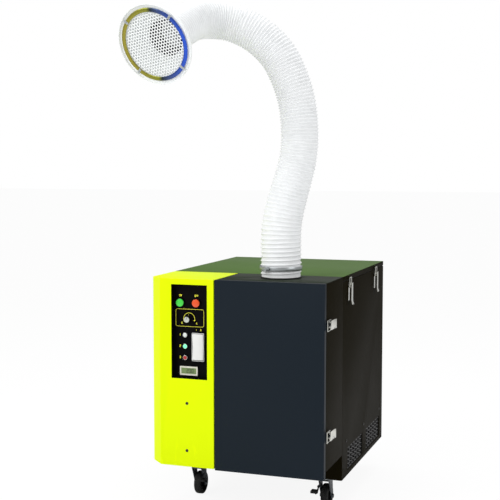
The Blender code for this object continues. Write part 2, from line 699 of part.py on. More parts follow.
def speed_knob():
    near = -GAP - KNOB_LONG
    profile = ((0, near), (KNOB_RADIUS - BUTTON_RIM, near), (KNOB_RADIUS, near + BUTTON_RIM),
               (KNOB_RADIUS, -GAP - KNOB_SKIRT), (KNOB_SKIRT_RADIUS, -GAP - KNOB_SKIRT * HALF_SHARE),
               (KNOB_SKIRT_RADIUS, -GAP), (KNOB_SHAFT_RADIUS, -GAP), (KNOB_SHAFT_RADIUS, KNOB_SHAFT_LONG),
               (0, KNOB_SHAFT_LONG))
    knob = turned(profile, ROUND_SIDES)
    for flute in range(KNOB_FLUTES):
        angle = FULL_TURN * flute / KNOB_FLUTES
        foot = Vector((KNOB_RADIUS * math.cos(angle), KNOB_RADIUS * math.sin(angle), near - OVERRUN))
        tip = foot + Vector((0, 0, KNOB_LONG - KNOB_SKIRT + OVERRUN))
        knob = cut(knob, rod(foot, tip, KNOB_FLUTE_RADIUS, 6))
    place = (KNOB_ACROSS, PANEL_RECESS, KNOB_HEIGHT)
    finish(moved(knob, along((0, 1, 0), place)), "speed_knob", "knob_plastic", place)


def power_rocker():
    """A wide paddle with a hollow face that tips on a pin behind its middle."""
    half = ROCKER_TALL * HALF_SHARE
    near = PANEL_RECESS - ROCKER_FRAME_PROUD
    behind_pin = PANEL_RECESS + ROCKER_PIN_RADIUS + RUN + BUTTON_RIM
    end_back = near + ROCKER_THICK - ROCKER_CROWN
    heel = BUTTON_RADIUS * HALF_SHARE
    outline = [(near - ROCKER_CROWN, ROCKER_HEIGHT - half), (near, ROCKER_HEIGHT),
               (near - ROCKER_CROWN, ROCKER_HEIGHT + half), (end_back, ROCKER_HEIGHT + half),
               (behind_pin, ROCKER_HEIGHT + heel), (behind_pin, ROCKER_HEIGHT - heel),
               (end_back, ROCKER_HEIGHT - half)]
    half_wide = ROCKER_WIDE * HALF_SHARE
    paddle = prism(outline, 0, ROCKER_ACROSS - half_wide, ROCKER_ACROSS + half_wide)
    bore = rod((ROCKER_ACROSS - ROCKER_WIDE, PANEL_RECESS, ROCKER_HEIGHT),
               (ROCKER_ACROSS + ROCKER_WIDE, PANEL_RECESS, ROCKER_HEIGHT), ROCKER_PIN_RADIUS + RUN)
    finish(cut(paddle, bore), "power_rocker", "white_plastic", (ROCKER_ACROSS, PANEL_RECESS, ROCKER_HEIGHT))


# The door, the lid, their seals and hinges


def door_and_lid():
    door = block((DOOR_LEFT, 0, DOOR_BOTTOM), (WIDTH, DOOR_THICK, TOP))
    hollow = block((DOOR_LEFT - OVERRUN, SHEET, DOOR_BOTTOM + SHEET),
                   (WIDTH - SHEET, DOOR_THICK + OVERRUN, TOP - SHEET))
    door = cut(door, hollow)
    lip = KEEPER_LIP_THICK
    for height in DOOR_LATCH_HEIGHTS:
        door = join(door, keeper(door_latch_frame(height), DOOR_LATCH_WIDE, DOOR_LATCH_BAR,
                                 DOOR_THICK + SEAM - lip))
    finish(door, "door", "dark_paint", (DOOR_HINGE_X, DOOR_HINGE_Y, DOOR_BOTTOM))

    left = DIVIDER_LEFT + GAP
    low = FRONT_FLOOR + GAP
    right = WIDTH - SHEET - GAP
    high = TOP - SHEET - GAP
    outer = block((left, SHEET + GAP, low), (right, FRONT_EDGE - GAP, high))
    hole = block((left + GASKET_WIDE, 0, low + GASKET_WIDE),
                 (right - GASKET_WIDE, FRONT_EDGE + OVERRUN, high - GASKET_WIDE))
    notch = block((0, 0, FRONT_FLOOR + HINGE_INSET - GAP),
                  (DOOR_HINGE_X + DOOR_LEAF_WIDE + GAP, SHEET + GAP + LEAF_THICK + GAP,
                   TOP - HINGE_INSET + GAP))
    finish(cut(outer, hole, notch), "door_gasket", "foam", (DOOR_HINGE_X, DOOR_HINGE_Y, DOOR_BOTTOM))

    front = FRONT_DEPTH + SEAM
    lid = block((0, front, TOP - LID_LIP), (WIDTH, DEPTH, TOP))
    lid = cut(lid, block((SHEET, front + SHEET, TOP - LID_LIP - OVERRUN),
                         (WIDTH - SHEET, DEPTH - SHEET, TOP - SHEET)))
    for back in LID_LATCH_BACKS:
        lid = join(lid, keeper(lid_latch_frame(back), LID_LATCH_WIDE, LID_LATCH_BAR, LID_LIP))
    finish(lid, "lid", "dark_paint", (LID_HINGE_X, DEPTH, LID_HINGE_Z))

    inset = SHEET + GAP
    seal = block((inset, front + inset, RIM + GAP), (WIDTH - inset, DEPTH - inset, TOP - SHEET - GAP))
    ring = inset + GASKET_WIDE
    seal = cut(seal, block((ring, front + ring, RIM - OVERRUN), (WIDTH - ring, DEPTH - ring, TOP + OVERRUN)))
    finish(seal, "lid_gasket", "foam", (LID_HINGE_X, DEPTH, LID_HINGE_Z))


def hinge(names, start, end, moving, fixed, leaf_wide):
    """A long hinge. Each leaf has the way that it runs from the pin and the side that it lies on."""
    start, end = Vector(start), Vector(end)
    axis = (end - start).normalized()
    length = (end - start).length
    pitch = length / KNUCKLES
    leaves = {}
    for part, (way, side) in enumerate((moving, fixed)):
        way, side = Vector(way), Vector(side)
        frame = Matrix.Identity(4)
        for row in range(3):
            frame[row] = (way[row], side[row], axis[row], start[row])
        inner, outer = KNUCKLE_RADIUS - LEAF_THICK, KNUCKLE_RADIUS
        leaf = moved(block((KNUCKLE_RADIUS + RUN, inner, 0), (leaf_wide, outer, length)), frame)
        for index in range(KNUCKLES):
            if index % 2 == part:
                continue
            low = index * pitch + (KNUCKLE_PLAY if index else 0)
            high = (index + 1) * pitch - (KNUCKLE_PLAY if index < KNUCKLES - 1 else 0)
            tube = rod(start + axis * low, start + axis * high, KNUCKLE_RADIUS)
            bridge = moved(block((0, inner, low), (KNUCKLE_RADIUS + RUN + BITE, outer, high)), frame)
            leaf = join(leaf, tube, bridge)
        leaves[part] = leaf
    bore = rod(start - axis * OVERRUN, end + axis * OVERRUN, HINGE_PIN_RADIUS + RUN)
    finish(cut(leaves[0], bore), names[0], "zinc", start)
    pin = rod(start + axis * BITE, end - axis * BITE, HINGE_PIN_RADIUS)
    finish(join(leaves[1], pin), names[1], "zinc", start)


def hinges():
    hinge(("door_hinge_leaf", "door_hinge_fixed"),
          (DOOR_HINGE_X, DOOR_HINGE_Y, FRONT_FLOOR + HINGE_INSET),
          (DOOR_HINGE_X, DOOR_HINGE_Y, TOP - HINGE_INSET),
          ((1, 0, 0), (0, -1, 0)), ((0, 1, 0), (1, 0, 0)), DOOR_LEAF_WIDE)
    hinge(("lid_hinge_leaf", "lid_hinge_fixed"),
          (LID_HINGE_X, FRONT_DEPTH + HINGE_INSET, LID_HINGE_Z),
          (LID_HINGE_X, DEPTH - HINGE_INSET, LID_HINGE_Z),
          ((0, 0, 1), (1, 0, 0)), ((0, 0, -1), (1, 0, 0)), LID_LEAF_WIDE)


# Draw latches. In a latch's own frame +X is the pull towards the keeper, +Z leaves the sheet
# and the origin lies on the sheet at the seam.


def frame_of(pull, out, place):
    pull, out = Vector(pull), Vector(out)
    across = out.cross(pull)
    frame = Matrix.Identity(4)
    for row in range(3):
        frame[row] = (pull[row], across[row], out[row], place[row])
    return frame


def door_latch_frame(height):
    return frame_of((0, -1, 0), (1, 0, 0), (WIDTH, FRONT_EDGE, height))


def lid_latch_frame(back):
    return frame_of((0, 0, 1), (1, 0, 0), (WIDTH, back, RIM))


def keeper(frame, wide, bar, reach):
    """The hook that the bail's cross bar closes over, on the door or the lid."""
    half = wide * HALF_SHARE - BAIL_WIRE * 3
    low = SEAM + LATCH_PLATE
    top = LATCH_PIVOT_OUT - BAIL_DROP - BAIL_WIRE - KEEPER_SHORT
    plate = block((low, -half, -BITE), (reach, half, LATCH_PLATE))
    lip_at = bar - BAIL_WIRE - GAP
    hook = block((lip_at - KEEPER_LIP_THICK, -half, 0), (lip_at, half, top))
    return moved(join(plate, hook), frame)


def wire_loop(low, high, height):
    """A rectangular loop of round wire, lying flat, with mitred corners."""
    bm = bmesh.new()
    rings = []
    for x, y, out_x, out_y in ((low[0], low[1], -1, -1), (high[0], low[1], 1, -1),
                               (high[0], high[1], 1, 1), (low[0], high[1], -1, 1)):
        ring = []
        for side in range(WIRE_SIDES):
            angle = FULL_TURN * side / WIRE_SIDES
            out, up = BAIL_WIRE * math.cos(angle), BAIL_WIRE * math.sin(angle)
            ring.append(bm.verts.new((x + out_x * out, y + out_y * out, height + up)))
        rings.append(ring)
    for index in range(4):
        here, there = rings[index], rings[(index + 1) % 4]
        for side in range(WIRE_SIDES):
            after = (side + 1) % WIRE_SIDES
            bm.faces.new((here[side], here[after], there[after], there[side]))
    return solid(bm)


def latch(name, frame, wide, lever_long, pivot_back, bar):
    """Base with two ears and a pin, lever with a block under it, and a wire bail through the block."""
    lever_half = wide * HALF_SHARE - BAIL_WIRE * 2 - RUN
    block_half = lever_half * HALF_SHARE
    ear_low = block_half + GAP
    ear_high = ear_low + LATCH_EAR
    pivot = (-pivot_back, 0, LATCH_PIVOT_OUT)
    foot_back = -pivot_back - lever_long + LEVER_FLARE_LONG

    base = block((foot_back, -ear_high, GAP), (-pivot_back + LATCH_EAR_ROUND, ear_high, GAP + LATCH_PLATE))
    for side in (-1, 1):
        low, high = sorted((side * ear_low, side * ear_high))
        outline = [(pivot[0] - LATCH_EAR_ROUND, GAP)]
        outline += arc((pivot[0], pivot[2]), LATCH_EAR_ROUND, math.pi, LATCH_EAR_SWEEP, 8)
        outline += [(pivot[0] + LATCH_EAR_ROUND * LATCH_EAR_FOOT_SHARE, GAP)]
        base = join(base, prism(outline, 1, low, high))
    pin = rod((pivot[0], -ear_high + BITE, pivot[2]), (pivot[0], ear_high - BITE, pivot[2]), LATCH_PIN_RADIUS)
    base = join(base, pin)
    finish(moved(base, frame), name + "_base", "chrome")

    under = LATCH_PIVOT_OUT + LEVER_LIFT
    front = pivot[0] + LEVER_NOSE
    tip = pivot[0] - lever_long
    skin_outline = [(front, under), (front, under + LEVER_SKIN), (tip + LEVER_FLARE_LONG, under + LEVER_SKIN),
                    (tip, under + LEVER_SKIN + LEVER_FLARE), (tip, under + LEVER_FLARE),
                    (tip + LEVER_FLARE_LONG, under)]
    lever = prism(skin_outline, 1, -lever_half, lever_half)
    bail_pin = (pivot[0] - LATCH_THROW, 0, LATCH_PIVOT_OUT - BAIL_DROP)
    heel = bail_pin[0] - LATCH_BLOCK_ROUND
    lug = [(heel, under + BITE), (heel, bail_pin[2] - LATCH_BLOCK_ROUND * HALF_SHARE)]
    lug += [(heel + LATCH_BLOCK_ROUND * HALF_SHARE, bail_pin[2] - LATCH_BLOCK_ROUND)]
    lug += [(pivot[0], pivot[2] - LATCH_BLOCK_ROUND), (front, pivot[2] - LATCH_BLOCK_ROUND * HALF_SHARE)]
    lug += [(front, under + BITE)]
    lever = join(lever, prism(lug, 1, -block_half, block_half))
    for hole, radius in ((pivot, LATCH_PIN_RADIUS + RUN), (bail_pin, BAIL_WIRE + RUN)):
        lever = cut(lever, rod((hole[0], -wide, hole[2]), (hole[0], wide, hole[2]), radius))
    finish(moved(lever, frame), name + "_lever", "chrome", frame @ Vector(pivot))

    arm = wide * HALF_SHARE - BAIL_WIRE
    wire = wire_loop((bail_pin[0], -arm), (bar, arm), bail_pin[2])
    finish(moved(wire, frame), name + "_bail", "chrome", frame @ Vector(bail_pin))


def latches():
    for name, height in zip(("door_latch_lower", "door_latch_upper"), DOOR_LATCH_HEIGHTS):
        latch(name, door_latch_frame(height), DOOR_LATCH_WIDE, DOOR_LATCH_LEVER, DOOR_LATCH_PIVOT,
              DOOR_LATCH_BAR)
    for name, back in zip(("lid_latch_front", "lid_latch_rear"), LID_LATCH_BACKS):
        latch(name, lid_latch_frame(back), LID_LATCH_WIDE, LID_LATCH_LEVER, LID_LATCH_PIVOT, LID_LATCH_BAR)


# Casters


def wheel(name, place):
    half = WHEEL_WIDE * HALF_SHARE
    hub = HUB_WIDE * HALF_SHARE
    bore = AXLE_RADIUS + RUN
    web = half - TREAD_ROUND
    profile = ((bore, -hub), (HUB_RADIUS, -hub), (HUB_RADIUS + TREAD_ROUND, -web),
               (WHEEL_RADIUS - TREAD_ROUND * 2, -web), (WHEEL_RADIUS - TREAD_ROUND, -half),
               (WHEEL_RADIUS, -web), (WHEEL_RADIUS, web), (WHEEL_RADIUS - TREAD_ROUND, half),
               (WHEEL_RADIUS - TREAD_ROUND * 2, web), (HUB_RADIUS + TREAD_ROUND, web), (HUB_RADIUS, hub),
               (bore, hub))
    shape = moved(turned(profile, WHEEL_SIDES, math.pi / WHEEL_SIDES), along((1, 0, 0), place))
    finish(shape, name, "rubber", place)


def fork(across, back, trail, crown_top):
    """Two legs under a crown, with the axle through them."""
    inner = HUB_WIDE * HALF_SHARE + GAP
    outer = inner + FORK_SHEET
    axle = (back + trail, WHEEL_RADIUS)
    half = FORK_CROWN_LONG * HALF_SHARE
    shape = block((across - outer, back - half, crown_top - FORK_SHEET),
                  (across + outer, back + half, crown_top))
    foot = arc(axle, FORK_FOOT_RADIUS, math.pi, FULL_TURN, 8)
    outline = [(back - half, crown_top - BITE)] + foot + [(back + half, crown_top - BITE)]
    for low, high in ((across - outer, across - inner), (across + inner, across + outer)):
        shape = join(shape, prism(outline, 0, low, high))
    reach = outer + AXLE_HEAD_THICK
    shape = join(shape, rod((across - outer - BITE, *axle), (across + outer + BITE, *axle), AXLE_RADIUS))
    for low, high in ((-reach, -outer + BITE), (outer - BITE, reach)):
        shape = join(shape, rod((across + low, *axle), (across + high, *axle), AXLE_HEAD_RADIUS, 6))
    return shape


def caster_plate(across, back):
    top = BODY_BOTTOM - GAP
    half_wide, half_long = CASTER_PLATE_WIDE * HALF_SHARE, CASTER_PLATE_LONG * HALF_SHARE
    return block((across - half_wide, back - half_long, top - CASTER_PLATE_THICK),
                 (across + half_wide, back + half_long, top))


def swivel_caster(side, across, inboard):
    """A plate with a race and a kingpin, a fork that turns on it, a wheel and a brake pedal."""
    back = FRONT_CASTER_BACK
    under = BODY_BOTTOM - GAP - CASTER_PLATE_THICK
    crown_top = under - RACE_TALL - GAP
    crown_low = crown_top - FORK_SHEET
    head = crown_low - GAP
    profile = ((0, under + BITE), (RACE_RADIUS, under + BITE), (RACE_RADIUS, under - RACE_TALL * HALF_SHARE),
               (RACE_RADIUS - TREAD_ROUND * HALF_SHARE, under - RACE_TALL),
               (KINGPIN_RADIUS, under - RACE_TALL), (KINGPIN_RADIUS, head), (KINGPIN_HEAD_RADIUS, head),
               (KINGPIN_HEAD_RADIUS, head - KINGPIN_HEAD_THICK), (0, head - KINGPIN_HEAD_THICK))
    race = moved(turned(profile, ROUND_SIDES), Matrix.Translation((across, back, 0)))
    finish(join(caster_plate(across, back), race), "front_caster_plate_" + side, "zinc")

    shape = fork(across, back, CASTER_TRAIL, crown_top)
    shape = cut(shape, rod((across, back, crown_low - OVERRUN), (across, back, crown_top + OVERRUN),
                           KINGPIN_RADIUS + RUN, ROUND_SIDES))
    leg = HUB_WIDE * HALF_SHARE + GAP + FORK_SHEET
    pivot = (back - PEDAL_PIVOT_FORE, WHEEL_RADIUS + PEDAL_PIVOT_RISE)
    near = across + inboard * leg
    far = near + inboard * (GAP + PEDAL_ARM_THICK + GAP + AXLE_HEAD_THICK * HALF_SHARE)
    shape = join(shape, rod((near - inboard * BITE, *pivot), (far, *pivot), PEDAL_PIN_RADIUS))
    finish(shape, "front_caster_fork_" + side, "zinc", (across, back, crown_top))

    wheel("front_caster_wheel_" + side, (across, back + CASTER_TRAIL, WHEEL_RADIUS))

    arm_near = near + inboard * GAP
    arm_far = arm_near + inboard * PEDAL_ARM_THICK
    half = PEDAL_ARM_TALL * HALF_SHARE
    tip = (pivot[0] - PEDAL_REACH, pivot[1] - PEDAL_DROP)
    outline = arc(pivot, half, -math.pi / 2, math.pi / 2, 6)
    outline += [(tip[0] + PEDAL_TREAD_LONG, tip[1] + half), (tip[0], tip[1] + half)]
    outline += [(tip[0], tip[1] - half * HALF_SHARE), (tip[0] + PEDAL_TREAD_LONG, tip[1] - half)]
    low, high = sorted((arm_near, arm_far))
    pedal = prism(outline, 0, low, high)
    low, high = sorted((arm_near, arm_near + inboard * PEDAL_TREAD_WIDE))
    tread_top = tip[1] + half
    pedal = join(pedal, block((low, tip[0] - BITE, tread_top - PEDAL_TREAD_THICK),
                              (high, tip[0] + PEDAL_TREAD_LONG, tread_top)))
    step = PEDAL_TREAD_LONG / PEDAL_RIDGES
    for ridge in range(PEDAL_RIDGES):
        at = tip[0] + step * (ridge + HALF_SHARE)
        pedal = join(pedal, block((low, at - PEDAL_RIDGE * HALF_SHARE, tread_top - BITE),
                                  (high, at + PEDAL_RIDGE * HALF_SHARE, tread_top + PEDAL_RIDGE)))
    pedal = cut(pedal, rod((across, *pivot), (far + inboard * OVERRUN, *pivot), PEDAL_PIN_RADIUS + RUN))
    finish(pedal, "brake_pedal_" + side, "black_plastic", (across, *pivot))


def fixed_caster(side, across):
    top = BODY_BOTTOM - GAP
    shape = join(caster_plate(across, REAR_CASTER_BACK), fork(across, REAR_CASTER_BACK, 0, top - BITE))
    finish(shape, "rear_caster_bracket_" + side, "zinc")
    wheel("rear_caster_wheel_" + side, (across, REAR_CASTER_BACK, WHEEL_RADIUS))


def casters():
    swivel_caster("left", FRONT_CASTER_SIDE, 1)
    swivel_caster("right", WIDTH - FRONT_CASTER_SIDE, -1)
    fixed_caster("left", REAR_CASTER_SIDE)
    fixed_caster("right", WIDTH - REAR_CASTER_SIDE)


# The inlet, the hose and the hood


def inlet_spigot():
    outer, inner = SPIGOT_RADIUS, SPIGOT_RADIUS - SPIGOT_WALL
    low, high = TOP - SPIGOT_BELOW, TOP + SPIGOT_TALL
    seat = TOP + GAP
    profile = ((inner, low), (outer, low), (outer, seat), (outer + SPIGOT_FLANGE, seat),
               (outer + SPIGOT_FLANGE, seat + SPIGOT_FLANGE_THICK), (outer, seat + SPIGOT_FLANGE_THICK),
               (outer, high), (inner, high))
    shape = moved(turned(profile, ROUND_SIDES), Matrix.Translation((INLET_ACROSS, INLET_BACK, 0)))
    finish(shape, "inlet_spigot", "black_paint")


def hood_direction():
    """The way that the hood's mouth faces: forward, a little left and down."""
    level = math.cos(HOOD_DIP)
    return Vector((-math.sin(HOOD_AZIMUTH) * level, -math.cos(HOOD_AZIMUTH) * level, -math.sin(HOOD_DIP)))


def arm_point(shares):
    """A place on the hose's middle from its shares of reach, rise and forward lean."""
    reach, rise, lean = shares
    away = Vector((-math.cos(ARM_AZIMUTH), -math.sin(ARM_AZIMUTH), 0))
    front = Vector((math.sin(ARM_AZIMUTH), -math.cos(ARM_AZIMUTH), 0))
    place = Vector((INLET_ACROSS, INLET_BACK, TOP))
    return place + away * reach * ARM_REACH + front * lean * ARM_REACH + Vector((0, 0, rise * ARM_RISE))


def hose_ends():
    foot = Vector((INLET_ACROSS, INLET_BACK, TOP + GAP + SPIGOT_FLANGE_THICK + GAP))
    bent_end = arm_point(ARM_ROUTE_SHARES[-1])
    return foot, bent_end, bent_end + hood_direction() * HOSE_RADIUS * 2


def smooth(points):
    """A smooth curve through points, its speed at each one following the distance to the next."""
    route = []
    for index in range(1, len(points) - 2):
        before, here, there, after = points[index - 1:index + 3]
        gap_before = (here - before).length ** HALF_SHARE
        gap_here = (there - here).length ** HALF_SHARE
        gap_after = (after - there).length ** HALF_SHARE
        slope = (there - here) / gap_here
        out = ((here - before) / gap_before - (there - before) / (gap_before + gap_here) + slope) * gap_here
        into = (slope - (after - here) / (gap_here + gap_after) + (after - there) / gap_after) * gap_here
        for step in range(ROUTE_STEPS):
            t = step / ROUTE_STEPS
            route.append(here * (2 * t ** 3 - 3 * t ** 2 + 1) + out * (t ** 3 - 2 * t ** 2 + t)
                         + there * (3 * t ** 2 - 2 * t ** 3) + into * (t ** 3 - t ** 2))
    return route


def hose_route():
    """The whole middle line: straight out of the inlet, bent over, and straight into the hood."""
    foot, bent_end, hood_end = hose_ends()
    straight = foot + Vector((0, 0, HOSE_RADIUS * 2))
    guides = [foot, straight] + [arm_point(shares) for shares in ARM_ROUTE_SHARES] + [hood_end]
    return [foot] + smooth(guides) + [bent_end, hood_end]


def spaced(route, count):
    """Points at even steps along a route."""
    lengths = [0]
    for here, there in zip(route, route[1:]):
        lengths.append(lengths[-1] + (there - here).length)
    places = []
    at = 0
    for step in range(count):
        wanted = lengths[-1] * step / (count - 1)
        while at < len(route) - 2 and lengths[at + 1] < wanted:
            at += 1
        share = (wanted - lengths[at]) / (lengths[at + 1] - lengths[at])
        places.append(route[at].lerp(route[at + 1], share))
    return places


def hose_radius(share):
    """Over the ribs, wider at the foot and the same all along after the taper."""
    past = max(0, share - HOSE_STRAIGHT_SHARE) / HOSE_TAPER_SHARE
    ease = min(1, past) ** 2 * (3 - 2 * min(1, past))
    return HOSE_FOOT_RADIUS + (HOSE_RADIUS - HOSE_FOOT_RADIUS) * ease


def tube(points, radii):
    """A closed tube along points, with a radius at each."""
    curve = bpy.data.curves.new("tube", "CURVE")
    curve.dimensions = "3D"
    curve.bevel_depth = max(radii)
    curve.bevel_resolution = (HOSE_SIDES - 4) // 2
    curve.use_fill_caps = True
    spline = curve.splines.new("POLY")
    spline.points.add(len(points) - 1)
    for target, point, radius in zip(spline.points, points, radii):
        target.co = (*point, 1)
        target.radius = radius / max(radii)
    guide = bpy.data.objects.new("tube", curve)
    bpy.context.scene.collection.objects.link(guide)
    bpy.context.view_layer.update()
    mesh = bpy.data.meshes.new_from_object(guide.evaluated_get(bpy.context.evaluated_depsgraph_get()))
    bpy.data.objects.remove(guide, do_unlink=True)
    bm = bmesh.new()
    bm.from_mesh(mesh)
    return solid(bm)


def hose():
    route = hose_route()
    ribs = spaced(route, HOSE_RIBS * 2 + 1)
    last = len(ribs) - 1
    radii = [hose_radius(index / last) - HOSE_VALLEY_DEPTH * (index % 2) for index in range(len(ribs))]
    shape = tube(ribs, radii)
    inner = spaced(route, BORE_POINTS)
    radii = [hose_radius(index / (BORE_POINTS - 1)) - HOSE_SKIN for index in range(BORE_POINTS)]
    start = inner[0] + (inner[0] - inner[1]).normalized() * OVERRUN
    end = inner[-1] + (inner[-1] - inner[-2]).normalized() * OVERRUN
    inner = [start] + inner + [end]
    bore = tube(inner, [radii[0]] + radii + [radii[-1]])
    finish(cut(shape, bore), "hose", "white_hose")


def hose_clamp():
    """A band round the hose's foot with a screw housing on it."""
    inner = (HOSE_FOOT_RADIUS + GAP) / math.cos(math.pi / HOOD_SIDES)
    outer = inner + CLAMP_BAND_THICK
    low, high = TOP + CLAMP_RISE, TOP + CLAMP_RISE + CLAMP_BAND_TALL
    band = turned(((inner, low), (outer, low), (outer, high), (inner, high)), HOOD_SIDES)
    half = CLAMP_BOX_LONG * HALF_SHARE
    box_out = outer + CLAMP_BOX_DEEP
    housing = block((-half, -box_out, low - BITE), (half, -outer + BITE, high + BITE))
    middle = (low + high) * HALF_SHARE
    screw_out = -outer - CLAMP_BOX_DEEP * HALF_SHARE
    reach = CLAMP_SCREW_LONG * HALF_SHARE
    screw = rod((-reach, screw_out, middle), (reach, screw_out, middle), CLAMP_SCREW_RADIUS, 6)
    clamp = join(band, housing, screw)
    place = Matrix.Translation((INLET_ACROSS, INLET_BACK, 0)) @ Matrix.Rotation(-CLAMP_ANGLE, 4, "Z")
    finish(moved(clamp, place), "hose_clamp", "steel")


def hood():
    hose_end = hose_ends()[2]
    frame = along(hood_direction(), hose_end)
    outer = HOOD_SPIGOT_RADIUS
    inner = outer - SPIGOT_WALL
    seat = HOOD_LENGTH - RING_THICK - GAP - MESH_THICK - GAP
    throat, start = HOOD_THROAT_RADIUS, GAP
    profile = ((inner, -HOOD_SPIGOT_LONG), (outer, -HOOD_SPIGOT_LONG), (outer, start),
               (throat + HOOD_WALL, start), (throat + HOOD_WALL, HOOD_THROAT_LONG),
               (MOUTH_RADIUS + HOOD_WALL, seat - HOOD_WALL * 2), (RIM_RADIUS, seat - HOOD_WALL * 2),
               (RIM_RADIUS, seat + RIM_ROLL), (RIM_RADIUS - HOOD_WALL, seat + RIM_ROLL),
               (RIM_RADIUS - HOOD_WALL * 2, seat), (MOUTH_RADIUS, seat), (throat, HOOD_THROAT_LONG),
               (throat, start + HOOD_WALL), (inner, start + HOOD_WALL))
    finish(moved(turned(profile, HOOD_SIDES), frame), "hood_cone", "white_paint")

    ring_low = HOOD_LENGTH - RING_THICK
    crown = (RING_INNER_RADIUS + RING_OUTER_RADIUS) * HALF_SHARE
    profile = ((RING_INNER_RADIUS, ring_low), (RING_OUTER_RADIUS, ring_low), (RING_OUTER_RADIUS, HOOD_LENGTH),
               (crown, HOOD_LENGTH + RING_THICK), (RING_INNER_RADIUS, HOOD_LENGTH))
    finish(moved(turned(profile, HOOD_SIDES), frame), "hood_ring", "steel")

    low = seat + GAP
    disc = prism(arc((0, 0), MESH_RADIUS, 0, FULL_TURN, HOOD_SIDES)[:-1], 2, low, low + MESH_THICK)
    bm = bmesh.new()
    row_pitch = MESH_PITCH * math.sin(math.pi / 3)
    rows = int(RING_INNER_RADIUS / row_pitch) + 1
    reach = RING_INNER_RADIUS - MESH_HOLE * HALF_SHARE
    half = MESH_HOLE * HALF_SHARE
    for row in range(-rows, rows + 1):
        shift = MESH_PITCH * HALF_SHARE if row % 2 else 0
        columns = int(RING_INNER_RADIUS / MESH_PITCH) + 1
        for column in range(-columns, columns + 1):
            x, y = column * MESH_PITCH + shift, row * row_pitch
            if math.hypot(x, y) > reach:
                continue
            corners = ((x - half, y), (x, y - half), (x + half, y), (x, y + half))
            base = [bm.verts.new((*corner, low - OVERRUN)) for corner in corners]
            cap = [bm.verts.new((*corner, low + OVERRUN)) for corner in corners]
            bm.faces.new(base[::-1])
            bm.faces.new(cap)
            for side in range(4):
                bm.faces.new((base[side], base[(side + 1) % 4], cap[(side + 1) % 4], cap[side]))
    finish(moved(cut(disc, solid(bm)), frame), "hood_mesh", "white_paint")


# Inside: screen, tray, filter, blower and motor


def vent_mesh():
    """One slanted-slot strip behind both windows of the right side."""
    front, back = VENT_FRONTS[0] - VENT_MESH_MARGIN, VENT_FRONTS[1] + VENT_LONG + VENT_MESH_MARGIN
    far = WIDTH - SHEET - GAP
    near = far - VENT_MESH_THICK
    strip = block((near, front, VENT_BASE - VENT_MESH_BELOW),
                  (far, back, VENT_BASE + VENT_TALL + VENT_MESH_MARGIN))
    bm = bmesh.new()
    pitch_long, pitch_tall = VENT_LONG / VENT_COLUMNS, (VENT_TALL - VENT_SLANT) / VENT_ROWS
    for window in VENT_FRONTS:
        for row in range(VENT_ROWS):
            for column in range(VENT_COLUMNS):
                y0 = window + column * pitch_long + VENT_WEB * HALF_SHARE
                y1 = window + (column + 1) * pitch_long - VENT_WEB * HALF_SHARE
                z0 = VENT_BASE + row * pitch_tall + VENT_WEB * HALF_SHARE
                z1 = z0 + pitch_tall - VENT_WEB
                corners = ((y0, z0 + VENT_SLANT), (y1, z0), (y1, z1), (y0, z1 + VENT_SLANT))
                base = [bm.verts.new((near - OVERRUN, *corner)) for corner in corners]
                cap = [bm.verts.new((far + OVERRUN, *corner)) for corner in corners]
                bm.faces.new(base[::-1])
                bm.faces.new(cap)
                for side in range(4):
                    bm.faces.new((base[side], base[(side + 1) % 4], cap[(side + 1) % 4], cap[side]))
    finish(cut(strip, solid(bm)), "vent_mesh", "black_paint")


def spark_screen():
    """A framed baffle that stands off the duct window on the dirty side."""
    half = DUCT_WIDE * HALF_SHARE + SCREEN_MARGIN
    back = FRONT_DEPTH - GAP
    front = back - SCREEN_DEEP
    low, high = DUCT_BASE - SCREEN_MARGIN, DUCT_BASE + DUCT_TALL + SCREEN_MARGIN
    frame = block((DUCT_ACROSS - half, front, low), (DUCT_ACROSS + half, back, high))
    inner = half - SCREEN_STAND_OFF
    frame = cut(frame, block((DUCT_ACROSS - inner, front + SHEET, low + SCREEN_STAND_OFF),
                             (DUCT_ACROSS + inner, back + OVERRUN, high - SCREEN_STAND_OFF)))
    pitch_wide = inner * 2 / SCREEN_COLUMNS
    pitch_tall = (high - low - SCREEN_STAND_OFF * 2) / SCREEN_ROWS
    for row in range(SCREEN_ROWS):
        for column in range(SCREEN_COLUMNS):
            x = DUCT_ACROSS - inner + column * pitch_wide + SCREEN_WEB * HALF_SHARE
            z = low + SCREEN_STAND_OFF + row * pitch_tall + SCREEN_WEB * HALF_SHARE
            frame = cut(frame, block((x, front - OVERRUN, z),
                                     (x + pitch_wide - SCREEN_WEB, front + SHEET + OVERRUN,
                                      z + pitch_tall - SCREEN_WEB)))
    finish(frame, "spark_screen", "galvanised")


def dust_tray():
    left = DIVIDER_LEFT + FRONT_FLANGE + GAP + TRAY_SIDE_PLAY
    right = WIDTH - FRONT_FLANGE - GAP - TRAY_SIDE_PLAY
    front = FRONT_EDGE + SHEET + TRAY_SIDE_PLAY
    back = FRONT_DEPTH - TRAY_SIDE_PLAY
    low = FRONT_FLOOR + SHEET + GAP
    tray = block((left, front, low), (right, back, low + TRAY_TALL))
    tray = cut(tray, block((left + SHEET, front + SHEET, low + SHEET),
                           (right - SHEET, back - SHEET, low + TRAY_TALL + OVERRUN)))
    middle = (left + right) * HALF_SHARE
    grip_half = DUCT_WIDE * HALF_SHARE * HALF_SHARE
    tray = join(tray, block((middle - grip_half, front - TRAY_GRIP, low + TRAY_TALL - SHEET),
                            (middle + grip_half, front + BITE, low + TRAY_TALL)))
    finish(tray, "dust_tray", "galvanised")


